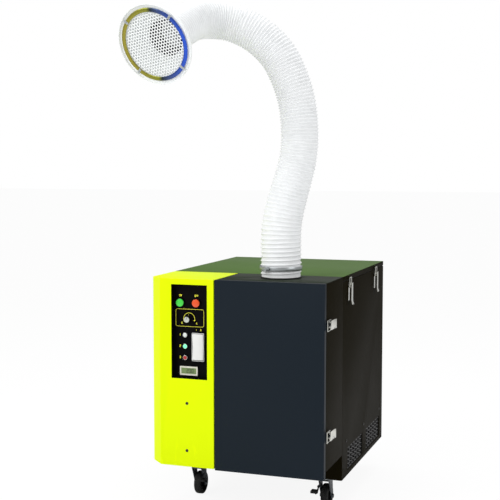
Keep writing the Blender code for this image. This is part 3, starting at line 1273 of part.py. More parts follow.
def filter_and_shelf():
    inset = SHEET + GAP + SHELF_MARGIN
    low = SHELF_HEIGHT - SHEET
    shelf = block((inset, FRONT_DEPTH + inset, low), (WIDTH - inset, DEPTH - inset, SHELF_HEIGHT))
    for near, far in ((inset, inset + SHEET), (WIDTH - inset - SHEET, WIDTH - inset)):
        shelf = join(shelf, block((near, FRONT_DEPTH + inset, low - BODY_FLANGE),
                                  (far, DEPTH - inset, low + BITE)))
    shelf = cut(shelf, rod((BLOWER_ACROSS, BLOWER_BACK, low - OVERRUN),
                           (BLOWER_ACROSS, BLOWER_BACK, SHELF_HEIGHT + OVERRUN),
                           INLET_EYE_RADIUS + SHEET, ROUND_SIDES))
    finish(shelf, "filter_shelf", "galvanised")

    left, right = FILTER_SIDE_PLAY, WIDTH - FILTER_SIDE_PLAY
    front, back = FRONT_DEPTH + FILTER_SIDE_PLAY, DEPTH - FILTER_SIDE_PLAY
    base = SHELF_HEIGHT + GAP
    frame = block((left, front, base), (right, back, base + FILTER_TALL))
    inner = FILTER_FRAME
    frame = cut(frame, block((left + inner, front + inner, base - OVERRUN),
                             (right - inner, back - inner, base + FILTER_TALL + OVERRUN)))
    pitch = (right - left - inner * 2) / FILTER_PLEATS
    crease_low, crease_high = base + FILTER_MARGIN, base + FILTER_TALL - FILTER_MARGIN - FILTER_MEDIA
    outline = [(left + inner - BITE, crease_low)]
    for pleat in range(FILTER_PLEATS):
        x = left + inner + pleat * pitch
        outline += [(x + pitch * HALF_SHARE, crease_high), (x + pitch, crease_low)]
    outline[-1] = (right - inner + BITE, crease_low)
    outline += [(x, z + FILTER_MEDIA) for x, z in reversed(outline)]
    pack = prism(outline, 1, front + inner - BITE, back - inner + BITE)
    finish(join(frame, pack), "main_filter", "paper")


def scroll_outline(inset):
    """A spiral that grows round the impeller and runs out straight to the right."""
    points = []
    for step in range(SCROLL_POINTS + 1):
        share = step / SCROLL_POINTS
        angle = -math.pi / 2 + math.pi / 8 + (FULL_TURN - math.pi / 8) * share
        radius = SCROLL_RADIUS + SCROLL_GROWTH * share - inset
        points.append((BLOWER_ACROSS + radius * math.cos(-angle), BLOWER_BACK + radius * math.sin(-angle)))
    return points


def blower():
    top = SHELF_HEIGHT - SHEET - BLOWER_GAP
    low = top - BLOWER_TALL
    out = BLOWER_ACROSS + SCROLL_OUTLET_LONG

    def outlet(inset, far):
        upper = BLOWER_BACK + SCROLL_RADIUS + SCROLL_GROWTH - inset
        lower = BLOWER_BACK + SCROLL_RADIUS * math.sin(math.pi / 4) + inset
        return ((BLOWER_ACROSS, upper), (far, upper), (far, lower),
                (BLOWER_ACROSS + SCROLL_RADIUS * HALF_SHARE, lower), (BLOWER_ACROSS, lower))

    case = join(prism(scroll_outline(0), 2, low, top), prism(outlet(0, out), 2, low, top))
    hollow = join(prism(scroll_outline(BLOWER_WALL), 2, low + BLOWER_WALL, top - BLOWER_WALL),
                  prism(outlet(BLOWER_WALL, out + OVERRUN), 2, low + BLOWER_WALL, top - BLOWER_WALL))
    eye = rod((BLOWER_ACROSS, BLOWER_BACK, top - OVERRUN), (BLOWER_ACROSS, BLOWER_BACK, top + OVERRUN),
              INLET_EYE_RADIUS, ROUND_SIDES)
    shaft_hole = rod((BLOWER_ACROSS, BLOWER_BACK, low - OVERRUN), (BLOWER_ACROSS, BLOWER_BACK, low + OVERRUN),
                     IMPELLER_HUB_RADIUS * HALF_SHARE + RUN)
    finish(cut(case, hollow, eye, shaft_hole), "blower_housing", "galvanised")

    plate_low = low + IMPELLER_LIFT
    hub_top = plate_low + IMPELLER_HUB_TALL
    shroud = plate_low + IMPELLER_PLATE + BLADE_TALL
    profile = ((0, low - SHAFT_BELOW), (SHAFT_RADIUS, low - SHAFT_BELOW), (SHAFT_RADIUS, plate_low),
               (IMPELLER_RADIUS, plate_low), (IMPELLER_RADIUS, plate_low + IMPELLER_PLATE),
               (IMPELLER_HUB_RADIUS, plate_low + IMPELLER_PLATE),
               (IMPELLER_HUB_RADIUS * HALF_SHARE, hub_top), (0, hub_top))
    wheel_shape = turned(profile, ROUND_SIDES)
    eye_share = INLET_EYE_RADIUS / IMPELLER_RADIUS
    ring = turned(((INLET_EYE_RADIUS, shroud - BITE), (IMPELLER_RADIUS, shroud - BITE),
                   (IMPELLER_RADIUS, shroud - BITE + IMPELLER_PLATE),
                   (INLET_EYE_RADIUS, shroud - BITE + IMPELLER_PLATE)), ROUND_SIDES)
    inner_radius = IMPELLER_RADIUS * eye_share * eye_share
    for blade in range(BLADE_COUNT):
        turn = FULL_TURN * blade / BLADE_COUNT
        outline = []
        for sense in (1, -1):
            row = []
            for step in range(BLADE_POINTS):
                share = step / (BLADE_POINTS - 1)
                radius = inner_radius + (IMPELLER_RADIUS - BLADE_THICK - inner_radius) * share
                angle = turn - BLADE_SWEEP * share + sense * BLADE_THICK * HALF_SHARE / radius
                row.append((radius * math.cos(angle), radius * math.sin(angle)))
            outline += row if sense > 0 else row[::-1]
        wheel_shape = join(wheel_shape, prism(outline, 2, plate_low + IMPELLER_PLATE - BITE, shroud))
    wheel_shape = join(wheel_shape, ring)
    place = Matrix.Translation((BLOWER_ACROSS, BLOWER_BACK, 0))
    finish(moved(wheel_shape, place), "impeller", "galvanised", (BLOWER_ACROSS, BLOWER_BACK, low))

    motor_top = low - GAP
    motor_low = motor_top - MOTOR_TALL
    shaft = SHAFT_RADIUS + RUN
    profile = ((shaft, motor_top), (MOTOR_RADIUS + MOTOR_FLANGE, motor_top),
               (MOTOR_RADIUS + MOTOR_FLANGE, motor_top - MOTOR_FLANGE_THICK),
               (MOTOR_RADIUS, motor_top - MOTOR_FLANGE_THICK), (MOTOR_RADIUS, motor_low + MOTOR_FIN_DEEP),
               (MOTOR_RADIUS - MOTOR_FIN_DEEP, motor_low), (0, motor_low),
               (0, motor_top - SHAFT_BELOW - OVERRUN), (shaft, motor_top - SHAFT_BELOW - OVERRUN))
    motor = turned(profile, ROUND_SIDES)
    for fin in range(MOTOR_FINS):
        turn = Matrix.Rotation(FULL_TURN * (fin + HALF_SHARE) / MOTOR_FINS, 4, "Z")
        half = MOTOR_FIN_THICK * HALF_SHARE
        rib = block((MOTOR_RADIUS - MOTOR_FIN_DEEP, -half, motor_low + MOTOR_FIN_DEEP * 2),
                    (MOTOR_RADIUS + MOTOR_FIN_DEEP, half, motor_top - MOTOR_FLANGE_THICK + BITE))
        motor = join(motor, moved(rib, turn))
    half = MOTOR_BOX_WIDE * HALF_SHARE
    box_low = motor_low + MOTOR_FIN_DEEP * 2
    terminal = block((MOTOR_RADIUS - MOTOR_FIN_DEEP, -half, box_low),
                     (MOTOR_RADIUS + MOTOR_BOX_DEEP, half, box_low + MOTOR_BOX_TALL))
    finish(moved(join(motor, terminal), place), "motor", "motor_paint")


def cable_gland():
    seat = GAP
    profile = ((GLAND_BORE_RADIUS, -SHEET - GLAND_TUBE_LONG), (GLAND_TUBE_RADIUS, -SHEET - GLAND_TUBE_LONG),
               (GLAND_TUBE_RADIUS, seat), (GLAND_NUT_RADIUS, seat), (GLAND_NUT_RADIUS, seat + GLAND_NUT_LONG),
               (GLAND_RADIUS, seat + GLAND_NUT_LONG), (GLAND_RADIUS, seat + GLAND_DOME_LONG),
               (GLAND_TUBE_RADIUS, seat + GLAND_DOME_LONG + BUTTON_RIM),
               (GLAND_BORE_RADIUS, seat + GLAND_DOME_LONG + BUTTON_RIM))
    shape = moved(turned(profile, SMALL_SIDES), along((0, 1, 0), (GLAND_ACROSS, DEPTH, GLAND_HEIGHT)))
    finish(shape, "cable_gland", "black_plastic")


def stand_at_origin():
    """Hang every piece on one empty, moved so that the footprint's middle is the origin."""
    bpy.context.view_layer.update()
    corners = [piece.matrix_world @ vertex.co for piece in finished for vertex in piece.data.vertices]
    spans = [(min(c[axis] for c in corners), max(c[axis] for c in corners)) for axis in range(2)]
    middle = [(low + high) * HALF_SHARE for low, high in spans]
    floor = min(c[2] for c in corners)
    stand = bpy.data.objects.new("stand", None)
    bpy.context.scene.collection.objects.link(stand)
    for piece in finished:
        piece.parent = stand
    stand.location = (-middle[0], -middle[1], -floor)
    bpy.context.view_layer.update()
    print("cabinet corner at", tuple(round(value, 6) for value in stand.location))


rear_body()
front_section()
control_cover()
control_plate()
push_button("start_button", START_ACROSS, "green_plastic")
push_button("stop_button", STOP_ACROSS, "red_plastic")
speed_knob()
power_rocker()
door_and_lid()
hinges()
latches()
casters()
inlet_spigot()
hose()
hose_clamp()
hood()
vent_mesh()
spark_screen()
dust_tray()
filter_and_shelf()
blower()
cable_gland()
stand_at_origin()
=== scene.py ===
# Looks for the mobile welding fume extractor: every finish, the spiral hose, the hood and the small fittings.
# Metres, Z up. Places on the cabinet count from its front left corner on the floor.
import json
import math

import bmesh
import bpy
import numpy as np
from mathutils import Matrix, Vector

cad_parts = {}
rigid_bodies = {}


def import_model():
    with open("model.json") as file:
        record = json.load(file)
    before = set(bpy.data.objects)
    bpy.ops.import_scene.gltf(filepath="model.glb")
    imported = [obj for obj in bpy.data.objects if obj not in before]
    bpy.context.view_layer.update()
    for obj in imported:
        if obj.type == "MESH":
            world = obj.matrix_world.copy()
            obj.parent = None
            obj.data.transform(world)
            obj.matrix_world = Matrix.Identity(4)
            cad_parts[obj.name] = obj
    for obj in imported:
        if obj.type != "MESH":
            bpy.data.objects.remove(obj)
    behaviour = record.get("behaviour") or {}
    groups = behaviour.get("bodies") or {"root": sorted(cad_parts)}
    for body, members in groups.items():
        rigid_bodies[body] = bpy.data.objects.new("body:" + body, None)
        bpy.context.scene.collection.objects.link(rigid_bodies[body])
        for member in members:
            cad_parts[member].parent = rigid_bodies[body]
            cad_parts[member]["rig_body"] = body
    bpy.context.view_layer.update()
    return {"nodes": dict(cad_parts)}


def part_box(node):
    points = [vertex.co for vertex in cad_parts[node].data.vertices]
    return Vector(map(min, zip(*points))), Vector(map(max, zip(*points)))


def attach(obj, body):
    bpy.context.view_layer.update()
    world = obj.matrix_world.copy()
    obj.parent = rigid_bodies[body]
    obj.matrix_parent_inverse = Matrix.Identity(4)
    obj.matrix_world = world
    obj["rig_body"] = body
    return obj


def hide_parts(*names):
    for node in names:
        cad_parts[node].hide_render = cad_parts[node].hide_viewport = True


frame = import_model()
nodes = frame["nodes"]
print("frame loaded,", len(nodes), "nodes")

cabinet = {"height": 0.7335, "wide": 0.550, "deep": 0.780}
corner = Vector((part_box("left_side_panel")[0].x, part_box("control_cover")[0].y,
                 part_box("lid")[1].z - cabinet["height"]))
fullTurn = 2 * math.pi


def spot(across, back, up):
    return corner + Vector((across, back, up))


# Camera, lamps and floor

view = {
    "lens": 76.8,
    "sensor": 36,
    "place": (1.340, -2.9045, 1.0693),     # from the cabinet's corner
    "yaw": 19.25,
    "pitch": 4.54,
}
lampBoxes = (
    # name, place, target, size, watts
    ("keySoftbox", (-1.7, -2.3, 2.4), (0.0, 0.0, 0.8), 1.8, 46),
    ("fillSoftbox", (2.6, -1.2, 1.6), (0.1, 0.1, 0.6), 1.6, 16),
    ("topSoftbox", (0.2, 0.6, 3.0), (0.0, 0.0, 0.7), 1.8, 22),
)
studio = {
    "skyStrength": 0.62,
    "floorHalf": 40.0,
    "glossSky": 0.45,      # what the shiny pieces mirror
    "floorColour": (0.92, 0.92, 0.92, 1),
    "floorShadow": 0.12,    # how much of the shadow the camera sees
    "floorGlow": 1.03,
}


def makeCamera():
    yaw, pitch = math.radians(view["yaw"]), math.radians(view["pitch"])
    forward = Vector((-math.sin(yaw) * math.cos(pitch), math.cos(yaw) * math.cos(pitch), -math.sin(pitch)))
    data = bpy.data.cameras.new("photoCamera")
    data.lens = view["lens"]
    data.sensor_width = view["sensor"]
    data.clip_end = 200
    camera = bpy.data.objects.new("photoCamera", data)
    camera.location = spot(*view["place"])
    camera.rotation_euler = forward.to_track_quat("-Z", "Y").to_euler()
    bpy.context.scene.collection.objects.link(camera)
    bpy.context.scene.camera = camera


def makeLamps():
    for name, place, target, size, watts in lampBoxes:
        data = bpy.data.lights.new(name, "AREA")
        data.size = size
        data.energy = watts
        lamp = bpy.data.objects.new(name, data)
        lamp.location = place
        lamp.rotation_euler = (Vector(target) - Vector(place)).to_track_quat("-Z", "Y").to_euler()
        bpy.context.scene.collection.objects.link(lamp)


# Shader maths: a Signal is one output socket, and sums and products of signals add Math nodes


class Signal:
    def __init__(self, finish, socket):
        self.finish = finish
        self.socket = socket

    def maths(self, operation, first, second):
        return self.finish.node("Math", {"operation": operation}, {0: first, 1: second})

    def __add__(self, other):
        return self.maths("ADD", self, other)

    def __radd__(self, other):
        return self.maths("ADD", other, self)

    def __sub__(self, other):
        return self.maths("SUBTRACT", self, other)

    def __rsub__(self, other):
        return self.maths("SUBTRACT", other, self)

    def __mul__(self, other):
        return self.maths("MULTIPLY", self, other)

    def __rmul__(self, other):
        return self.maths("MULTIPLY", other, self)


class Finish:
    # one material; constants go on the shader's own sockets
    def __init__(self, name, **constants):
        self.material = bpy.data.materials.new(name)
        self.material.use_nodes = True
        self.tree = self.material.node_tree
        self.shader = self.tree.nodes["Principled BSDF"]
        for socket, value in constants.items():
            words = {"coat": "Coat Weight", "coatRough": "Coat Roughness", "specular": "Specular IOR Level",
                     "metallic": "Metallic", "glow": "Emission Strength", "glowColour": "Emission Color"}
            self.shader.inputs[words[socket]].default_value = value

    def node(self, kind, settings=None, values=None, output=0):
        made = self.tree.nodes.new("ShaderNode" + kind)
        for name, value in (settings or {}).items():
            if name == "stops":
                ramp = made.color_ramp.elements
                for position, colour in value[1:-1]:
                    ramp.new(position).color = colour
                for end, (position, colour) in ((0, value[0]), (-1, value[-1])):
                    ramp[end].position = position
                    ramp[end].color = colour
            else:
                setattr(made, name, value)
        for name, value in (values or {}).items():
            if isinstance(value, Signal):
                self.tree.links.new(value.socket, made.inputs[name])
            else:
                made.inputs[name].default_value = value
        return Signal(self, made.outputs[output])

    def place(self, stretch=(1, 1, 1)):
        # where a point lies on the piece, by its Object coordinates
        coordinates = self.node("TexCoord", output=3)
        return self.node("Mapping", values={"Vector": coordinates, "Scale": stretch})

    def noise(self, scale, detail=3.0, rough=0.5, stretch=(1, 1, 1)):
        return self.node("TexNoise", values={"Vector": self.place(stretch=stretch), "Scale": scale,
                                             "Detail": detail, "Roughness": rough})

    def between(self, signal, low, high):
        # 0 below low, 1 above high, straight in between
        return self.node("MapRange", {"clamp": True}, {"Value": signal, "From Min": low, "From Max": high})

    def blend(self, share, first, second):
        return self.node("Mix", {"data_type": "RGBA"}, {0: share, 6: first, 7: second}, output=2)

    def height(self, signal, distance, strength=1.0):
        return self.node("Bump", values={"Height": signal, "Distance": distance, "Strength": strength})

    def wear(self, **sockets):
        words = {"colour": "Base Color", "rough": "Roughness", "normal": "Normal", "glow": "Emission Color"}
        for name, value in sockets.items():
            if isinstance(value, Signal):
                self.tree.links.new(value.socket, self.shader.inputs[words[name]])
            else:
                self.shader.inputs[words[name]].default_value = value
        return self.material


def shade(colour, factor):
    return tuple(channel * factor for channel in colour[:3]) + (1,)


def rgba(red, green, blue):
    return (red, green, blue, 1)


# Finishes


def powderPaint(name, colour, rough, specular=0.5, mottle=0.10, scuffs=True, **extra):
    # baked powder: a fine orange peel, soft clouds in the gloss, pale scuffs low down
    paint = Finish(name, specular=specular, **extra)
    clouds = paint.noise(5, 4)
    grain = paint.noise(1500, 2)
    peelWaves = paint.noise(420, 2, 0.4)
    shadeColour = paint.blend(clouds * mottle * 2, shade(colour, 1 - mottle), shade(colour, 1 + mottle))
    roughness = rough + (clouds - 0.5) * 0.10 + (grain - 0.5) * 0.06
    if scuffs:
        up = paint.node("SeparateXYZ", values={0: paint.place()}, output=2)
        low = 1 - paint.between(up, 0.10, 0.30)
        streaks = paint.between(paint.noise(60, 5, 0.65, (1, 1, 0.25)), 0.62, 0.74)
        marks = low * streaks * 0.35
        shadeColour = paint.blend(marks, shadeColour, shade(colour, 1.7))
        roughness = roughness + marks * 0.3
    bumps = paint.height(peelWaves + grain * 0.25, 0.00006)
    return paint.wear(colour=shadeColour, rough=roughness, normal=bumps)


def plainMetal(name, colour, rough, streak=(1, 1, 18), spread=0.12, scratch=0.00002, cloud=12):
    # drawn or plated metal: long fine streaks and cloudy polish
    metal = Finish(name, metallic=1.0)
    streaks = metal.noise(260, 4, 0.6, streak)
    clouds = metal.noise(cloud, 3)
    tone = metal.blend(clouds, shade(colour, 0.86), shade(colour, 1.06))
    roughness = rough + (streaks - 0.5) * spread + (clouds - 0.5) * spread
    return metal.wear(colour=tone, rough=roughness, normal=metal.height(streaks, scratch))


def mouldedPlastic(name, colour, rough, grain=0.00003, grainScale=1300, **extra):
    # spark-eroded mould grain, slight flow clouds
    plastic = Finish(name, **extra)
    clouds = plastic.noise(30, 3)
    pits = plastic.noise(grainScale, 2)
    tone = plastic.blend(clouds, shade(colour, 0.92), shade(colour, 1.05))
    return plastic.wear(colour=tone, rough=rough + (clouds - 0.5) * 0.12 + (pits - 0.5) * 0.05,
                        normal=plastic.height(pits, grain))


def galvanisedSheet(name):
    # zinc spangle: crystals of unlike brightness, with faint roller lines
    zinc = Finish(name, metallic=1.0)
    crystals = zinc.node("TexVoronoi", values={"Vector": zinc.place(), "Scale": 90.0}, output=1)
    bright = zinc.node("SeparateColor", values={0: crystals})
    lines = zinc.noise(150, 3, 0.6, (1, 14, 1))
    tone = zinc.blend(bright, rgba(0.42, 0.44, 0.46), rgba(0.62, 0.64, 0.66))
    return zinc.wear(colour=tone, rough=0.36 + bright * 0.16 + (lines - 0.5) * 0.1,
                     normal=zinc.height(lines, 0.00003))


def hoseSkin(name):
    # coated cloth over a wire: weave in the coating, grey in the valleys and in the bore, partly dirt and
    # partly painted shade, so the wire stands bright
    # painted light: a faint white glow over the whole hose
    skin = Finish(name, specular=0.25, glow=0.05, glowColour=rgba(1, 1, 1))
    ridge = skin.node("Attribute", {"attribute_name": "ridge"}, output=2)
    around = skin.node("UVMap", {"uv_map": "lay"})
    weaveSpace = skin.node("Mapping", values={"Vector": around, "Scale": (260, 900, 1)})
    weave = skin.node("TexChecker", values={"Vector": weaveSpace, "Scale": 1.0}, output=1)
    clouds = skin.noise(9, 4)
    dirt = skin.between(skin.noise(34, 5, 0.6), 0.45, 0.8)
    clean = skin.blend(clouds, rgba(0.88, 0.895, 0.91), rgba(0.94, 0.95, 0.96))
    # painted shade: valleys between turns and the bore darken to grey; dirt adds more in the valleys
    grey = skin.blend((1 - ridge) * (0.30 + dirt * 0.30), clean, rgba(0.60, 0.62, 0.62))
    return skin.wear(colour=grey, rough=0.52 - ridge * 0.10 + (clouds - 0.5) * 0.1,
                     normal=skin.height(weave * 0.5 + clouds * 0.5, 0.00010, 0.6))


def paintedReflectionSteel(name, middle, half):
    # a polished ring painted with the reflections it shows: olive on its left, near black at the turn, blue
    # on its right; painted reflection, not the steel's own colour
    steel = Finish(name, metallic=0.75, specular=0.6)
    across = steel.node("SeparateXYZ", values={0: steel.place()}, output=0)
    share = steel.between(across, middle - half, middle + half)
    brushed = steel.noise(300, 3, 0.6, (1, 1, 12))
    tone = steel.node("ValToRGB", {"stops": ((0.0, rgba(0.33, 0.29, 0.04)), (0.40, rgba(0.24, 0.25, 0.03)),
                                             (0.47, rgba(0.02, 0.03, 0.03)), (0.60, rgba(0.05, 0.08, 0.20)),
                                             (1.0, rgba(0.03, 0.10, 0.62)))}, {0: share})
    return steel.wear(colour=tone, rough=0.22 + brushed * 0.1, normal=steel.height(brushed, 0.00001))


def tyreRubber(name):
    rubber = Finish(name, specular=0.3)
    dust = rubber.between(rubber.noise(70, 5, 0.6), 0.45, 0.75)
    grains = rubber.noise(900, 3)
    tone = rubber.blend(dust * 0.5, rgba(0.010, 0.010, 0.010), rgba(0.045, 0.043, 0.040))
    return rubber.wear(colour=tone, rough=0.62 + dust * 0.25 + (grains - 0.5) * 0.1,
                       normal=rubber.height(grains, 0.00008))


def cellFoam(name):
    foam = Finish(name, specular=0.15)
    cells = foam.node("TexVoronoi", values={"Vector": foam.place(), "Scale": 900.0})
    tone = foam.blend(cells, rgba(0.012, 0.012, 0.013), rgba(0.050, 0.050, 0.052))
    return foam.wear(colour=tone, rough=0.85 + cells * 0.12, normal=foam.height(cells, 0.0004))


def filterPaper(name):
    # pleated fibre: fine fleece, and clouds of dust
    paper = Finish(name, specular=0.2)
    fibres = paper.noise(700, 5, 0.7, (1, 0.3, 1))
    soot = paper.between(paper.noise(14, 4), 0.45, 0.75)
    tone = paper.blend(fibres, rgba(0.62, 0.60, 0.52), rgba(0.86, 0.84, 0.77))
    tone = paper.blend(soot * 0.35, tone, rgba(0.30, 0.29, 0.27))
    return paper.wear(colour=tone, rough=0.82 + fibres * 0.12, normal=paper.height(fibres, 0.0002))


def litLens(name, colour, glow, strength):
    # a lamp lens, its colour and glow clouded alike
    lens = Finish(name, specular=0.6, coat=0.5, coatRough=0.08, glow=strength)
    cloud = lens.noise(160, 2)
    tone = lens.blend(cloud, shade(colour, 0.85), shade(colour, 1.05))
    light = lens.blend(cloud, shade(glow, 0.75), shade(glow, 1.0))
    return lens.wear(colour=tone, rough=0.16 + cloud * 0.12, glow=light, normal=lens.height(cloud, 0.00005))


def displayGlass(name):
    # a grey-green liquid crystal under its window, with the faint grid of unlit segments
    glass = Finish(name, specular=0.5, coat=0.6, coatRough=0.05)
    cells = glass.node("TexBrick", {"offset": 0.0},
                       {"Vector": glass.place(), "Scale": 160.0, "Mortar Size": 0.06,
                        "Color1": rgba(0.16, 0.25, 0.07), "Color2": rgba(0.18, 0.28, 0.08),
                        "Mortar": rgba(0.12, 0.19, 0.05)})
    return glass.wear(colour=cells, rough=0.22 + glass.noise(90) * 0.1)


finishes = {
    "yellow_paint": powderPaint("yellowPaint", (0.800, 1.000, 0.001), 0.42, 0.06, mottle=0.02),
    # painted shade: the cabinet paint made brownish and near black on the sides, rear and lower panels
    "dark_paint": powderPaint("sideShadedPaint", (0.0090, 0.0070, 0.0024), 0.48, 0.010),
    "black_paint": powderPaint("blackPaint", (0.0075, 0.0075, 0.0080), 0.45, 0.3),
    "black_plastic": mouldedPlastic("blackPlastic", (0.0020, 0.0016, 0.0021), 0.45, specular=0.06),
    "white_hose": hoseSkin("hoseSkin"),
    "white_paint": powderPaint("whitePaint", (0.83, 0.845, 0.85), 0.38, 0.4, mottle=0.03, scuffs=False),
    "steel": plainMetal("polishedSteel", (0.74, 0.75, 0.74), 0.10, spread=0.05, scratch=0.000006),
    "zinc": plainMetal("zincPlate", (0.50, 0.53, 0.54), 0.34),
    "chrome": plainMetal("brightPlate", (0.82, 0.82, 0.76), 0.17, spread=0.08, scratch=0.00001),
    "rubber": tyreRubber("tyreRubber"),
    "foam": cellFoam("sealFoam"),
    "green_plastic": mouldedPlastic("greenPlastic", (0.050, 0.720, 0.060), 0.26, coat=0.4, coatRough=0.1),
    "red_plastic": mouldedPlastic("redPlastic", (0.860, 0.085, 0.006), 0.26, coat=0.4, coatRough=0.1),
    "white_plastic": mouldedPlastic("whitePlastic", (0.86, 0.86, 0.84), 0.32, specular=0.4),
    "knob_plastic": mouldedPlastic("knobCap", (0.60, 0.63, 0.58), 0.30, metallic=0.4),
    "galvanised": galvanisedSheet("zincSpangle"),
    "paper": filterPaper("filterPaper"),
    "motor_paint": powderPaint("motorPaint", (0.050, 0.065, 0.080), 0.45, scuffs=False),
}
# painted light: the door's copy of the cabinet paint, lighter and bluer than the sides
doorLitPaint = powderPaint("doorLitPaint", (0.0125, 0.0190, 0.0270), 0.42, 0.07)
# painted reflection: olive-green tops for the lid and the front deck, copies of the cabinet paint
topReflectionPaint = powderPaint("topReflectionPaint", (0.085, 0.165, 0.034), 0.44, 0.05, scuffs=False)
deckReflectionPaint = powderPaint("deckReflectionPaint", (0.018, 0.028, 0.014), 0.44, 0.05, scuffs=False)
# painted shade: zinc darkened to near black for the caster forks and brackets
forkShadedZinc = plainMetal("shadedZincFork", (0.10, 0.11, 0.12), 0.36, spread=0.15)
# painted light: the white cone and perforated sheet glow faintly
coneGlowPaint = powderPaint("coneGlowPaint", (0.88, 0.90, 0.90), 0.38, 0.3, mottle=0.02, scuffs=False, glow=0.07,
                        glowColour=rgba(0.95, 1, 0.98))
# painted light: the yellow print glows
glowPrint = mouldedPlastic("yellowGlowPrint", (0.90, 0.88, 0.06), 0.55, grain=0.00001, glow=0.35,
                             glowColour=rgba(1, 0.95, 0.08))
inkPrint = mouldedPlastic("darkPrint", (0.020, 0.022, 0.015), 0.55, grain=0.00001)
creamPlastic = mouldedPlastic("creamPlastic", (0.78, 0.76, 0.66), 0.38, specular=0.4)
darkScrew = plainMetal("blackedScrew", (0.06, 0.06, 0.06), 0.32, spread=0.1)
whiteLens = litLens("whiteLens", (0.75, 0.78, 0.76), (0.9, 1.0, 0.95), 0.12)
greenLens = litLens("greenLens", (0.05, 0.60, 0.25), (0.20, 1.0, 0.50), 1.1)
redLens = litLens("redLens", (0.42, 0.010, 0.008), (1.0, 0.05, 0.03), 0.05)
display = displayGlass("displayGlass")
print("finishes made,", len(bpy.data.materials), "materials")


# Shapes: a shape is its points and its four-sided faces


def gridShape(grid, wrapRows=False, wrapColumns=False):
    # neighbours in a grid of points are joined by four-sided faces
    rows, columns = grid.shape[:2]
    index = np.arange(rows * columns).reshape(rows, columns)
    if wrapRows:
        index = np.concatenate([index, index[:1]])
    if wrapColumns:
        index = np.concatenate([index, index[:, :1]], axis=1)
    faces = np.stack([index[:-1, :-1], index[1:, :-1], index[1:, 1:], index[:-1, 1:]], axis=-1)
    return grid.reshape(-1, 3), faces.reshape(-1, 4)


def movedShape(shape, matrix):
    turn = np.array(matrix)
    return shape[0] @ turn[:3, :3].T + turn[:3, 3], shape[1]


def copies(shape, matrices):
    return [movedShape(shape, matrix) for matrix in matrices]


def softened(outline, radius, steps=4, closed=True):
    # each corner c gives way to the curve (1-t)(1-t) a + 2t(1-t) c + t t b, with a and b beside it
    corners = np.array(outline, float)
    sides = []
    for shift in (1, -1):
        way = np.roll(corners, shift, axis=0) - corners
        share = np.minimum(radius / np.linalg.norm(way, axis=1, keepdims=True), 0.45)
        sides.append((corners + way * share)[:, None])
    t = np.linspace(0, 1, steps + 1)[None, :, None]
    curve = (1 - t) ** 2 * sides[0] + 2 * t * (1 - t) * corners[:, None] + t ** 2 * sides[1]
    curve = curve.reshape(-1, corners.shape[1])
    if not closed:
        curve = np.concatenate([corners[:1], curve[steps + 1:-steps - 1], corners[-1:]])
    return curve


def turnedShape(profile, sides=72, closed=False):
    # a profile point (r, h) goes round at every angle a: (r cos a, r sin a, h)
    profile = np.array(profile, float)
    angle = np.linspace(0, fullTurn, sides, endpoint=False)[:, None]
    radius, height = profile[:, 0], profile[:, 1]
    grid = np.stack([radius * np.cos(angle), radius * np.sin(angle), height + 0 * angle], axis=-1)
    return gridShape(grid, wrapRows=True, wrapColumns=closed)


def roundedOutline(width, tall, radius, steps=6):
    # four quarter circles, each round its own corner's centre
    angle = np.linspace(0, math.pi / 2, steps + 1)[None, :] + np.arange(4)[:, None] * math.pi / 2
    signs = np.array([(1, 1), (-1, 1), (-1, -1), (1, -1)])
    x = signs[:, :1] * (width / 2 - radius) + radius * np.cos(angle)
    y = signs[:, 1:] * (tall / 2 - radius) + radius * np.sin(angle)
    return np.stack([x, y], axis=-1).reshape(-1, 2)


def slabShape(width, tall, radius, sections, closed=False, steps=6):
    # a rounded rectangle at each section (inset, height), joined one to the next and shut at the middle
    rows = []
    for inset, height in sections:
        corner = max(radius - inset, radius * 0.1)
        outline = roundedOutline(width - 2 * inset, tall - 2 * inset, corner, steps)
        rows.append(np.column_stack([outline, np.full(len(outline), height)]))
    grid = np.array(rows)
    if not closed:
        first, last = grid[:1].copy(), grid[-1:].copy()
        first[..., :2] = 0
        last[..., :2] = 0
        grid = np.concatenate([first, grid, last])
    return gridShape(grid, wrapRows=closed, wrapColumns=True)


def carriedShape(path, across, up, profile, closed=True):
    # a profile (x, y) carried along a path: point + x across + y up at every path point
    grid = path[:, None] + profile[None, :, :1] * across[:, None] + profile[None, :, 1:] * up[:, None]
    return gridShape(grid, wrapRows=closed, wrapColumns=True)


def circleProfile(radius, sides=12):
    angle = np.linspace(0, fullTurn, sides, endpoint=False)
    return np.stack([radius * np.cos(angle), radius * np.sin(angle)], axis=-1)


def standing(place, across, up):
    # X runs across, Y up, and Z out of the face
    out = Vector(across).cross(Vector(up))
    matrix = Matrix((across, up, out)).transposed().to_4x4()
    matrix.translation = place
    return matrix


def onFront(across, up, back=0.0):
    return standing(spot(across, back, up), (1, 0, 0), (0, 0, 1))


def onRight(back, up):
    return standing(spot(cabinet["wide"], back, up), (0, 1, 0), (0, 0, 1))


def onRear(across, up):
    return standing(spot(across, cabinet["deep"], up), (-1, 0, 0), (0, 0, 1))


def facing(direction, place):
    turn = Vector((0, 0, 1)).rotation_difference(Vector(direction))
    return Matrix.Translation(place) @ turn.to_matrix().to_4x4()


def finishMesh(mesh, name, finish, body, replaced, sharpAngle):
    mesh.shade_smooth()
    if sharpAngle:
        mesh.set_sharp_from_angle(angle=math.radians(sharpAngle))
    mesh.materials.clear()
    mesh.materials.append(finish)
    piece = bpy.data.objects.new(name, mesh)
    bpy.context.scene.collection.objects.link(piece)
    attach(piece, body)
    if replaced:
        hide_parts(*replaced)
    return piece


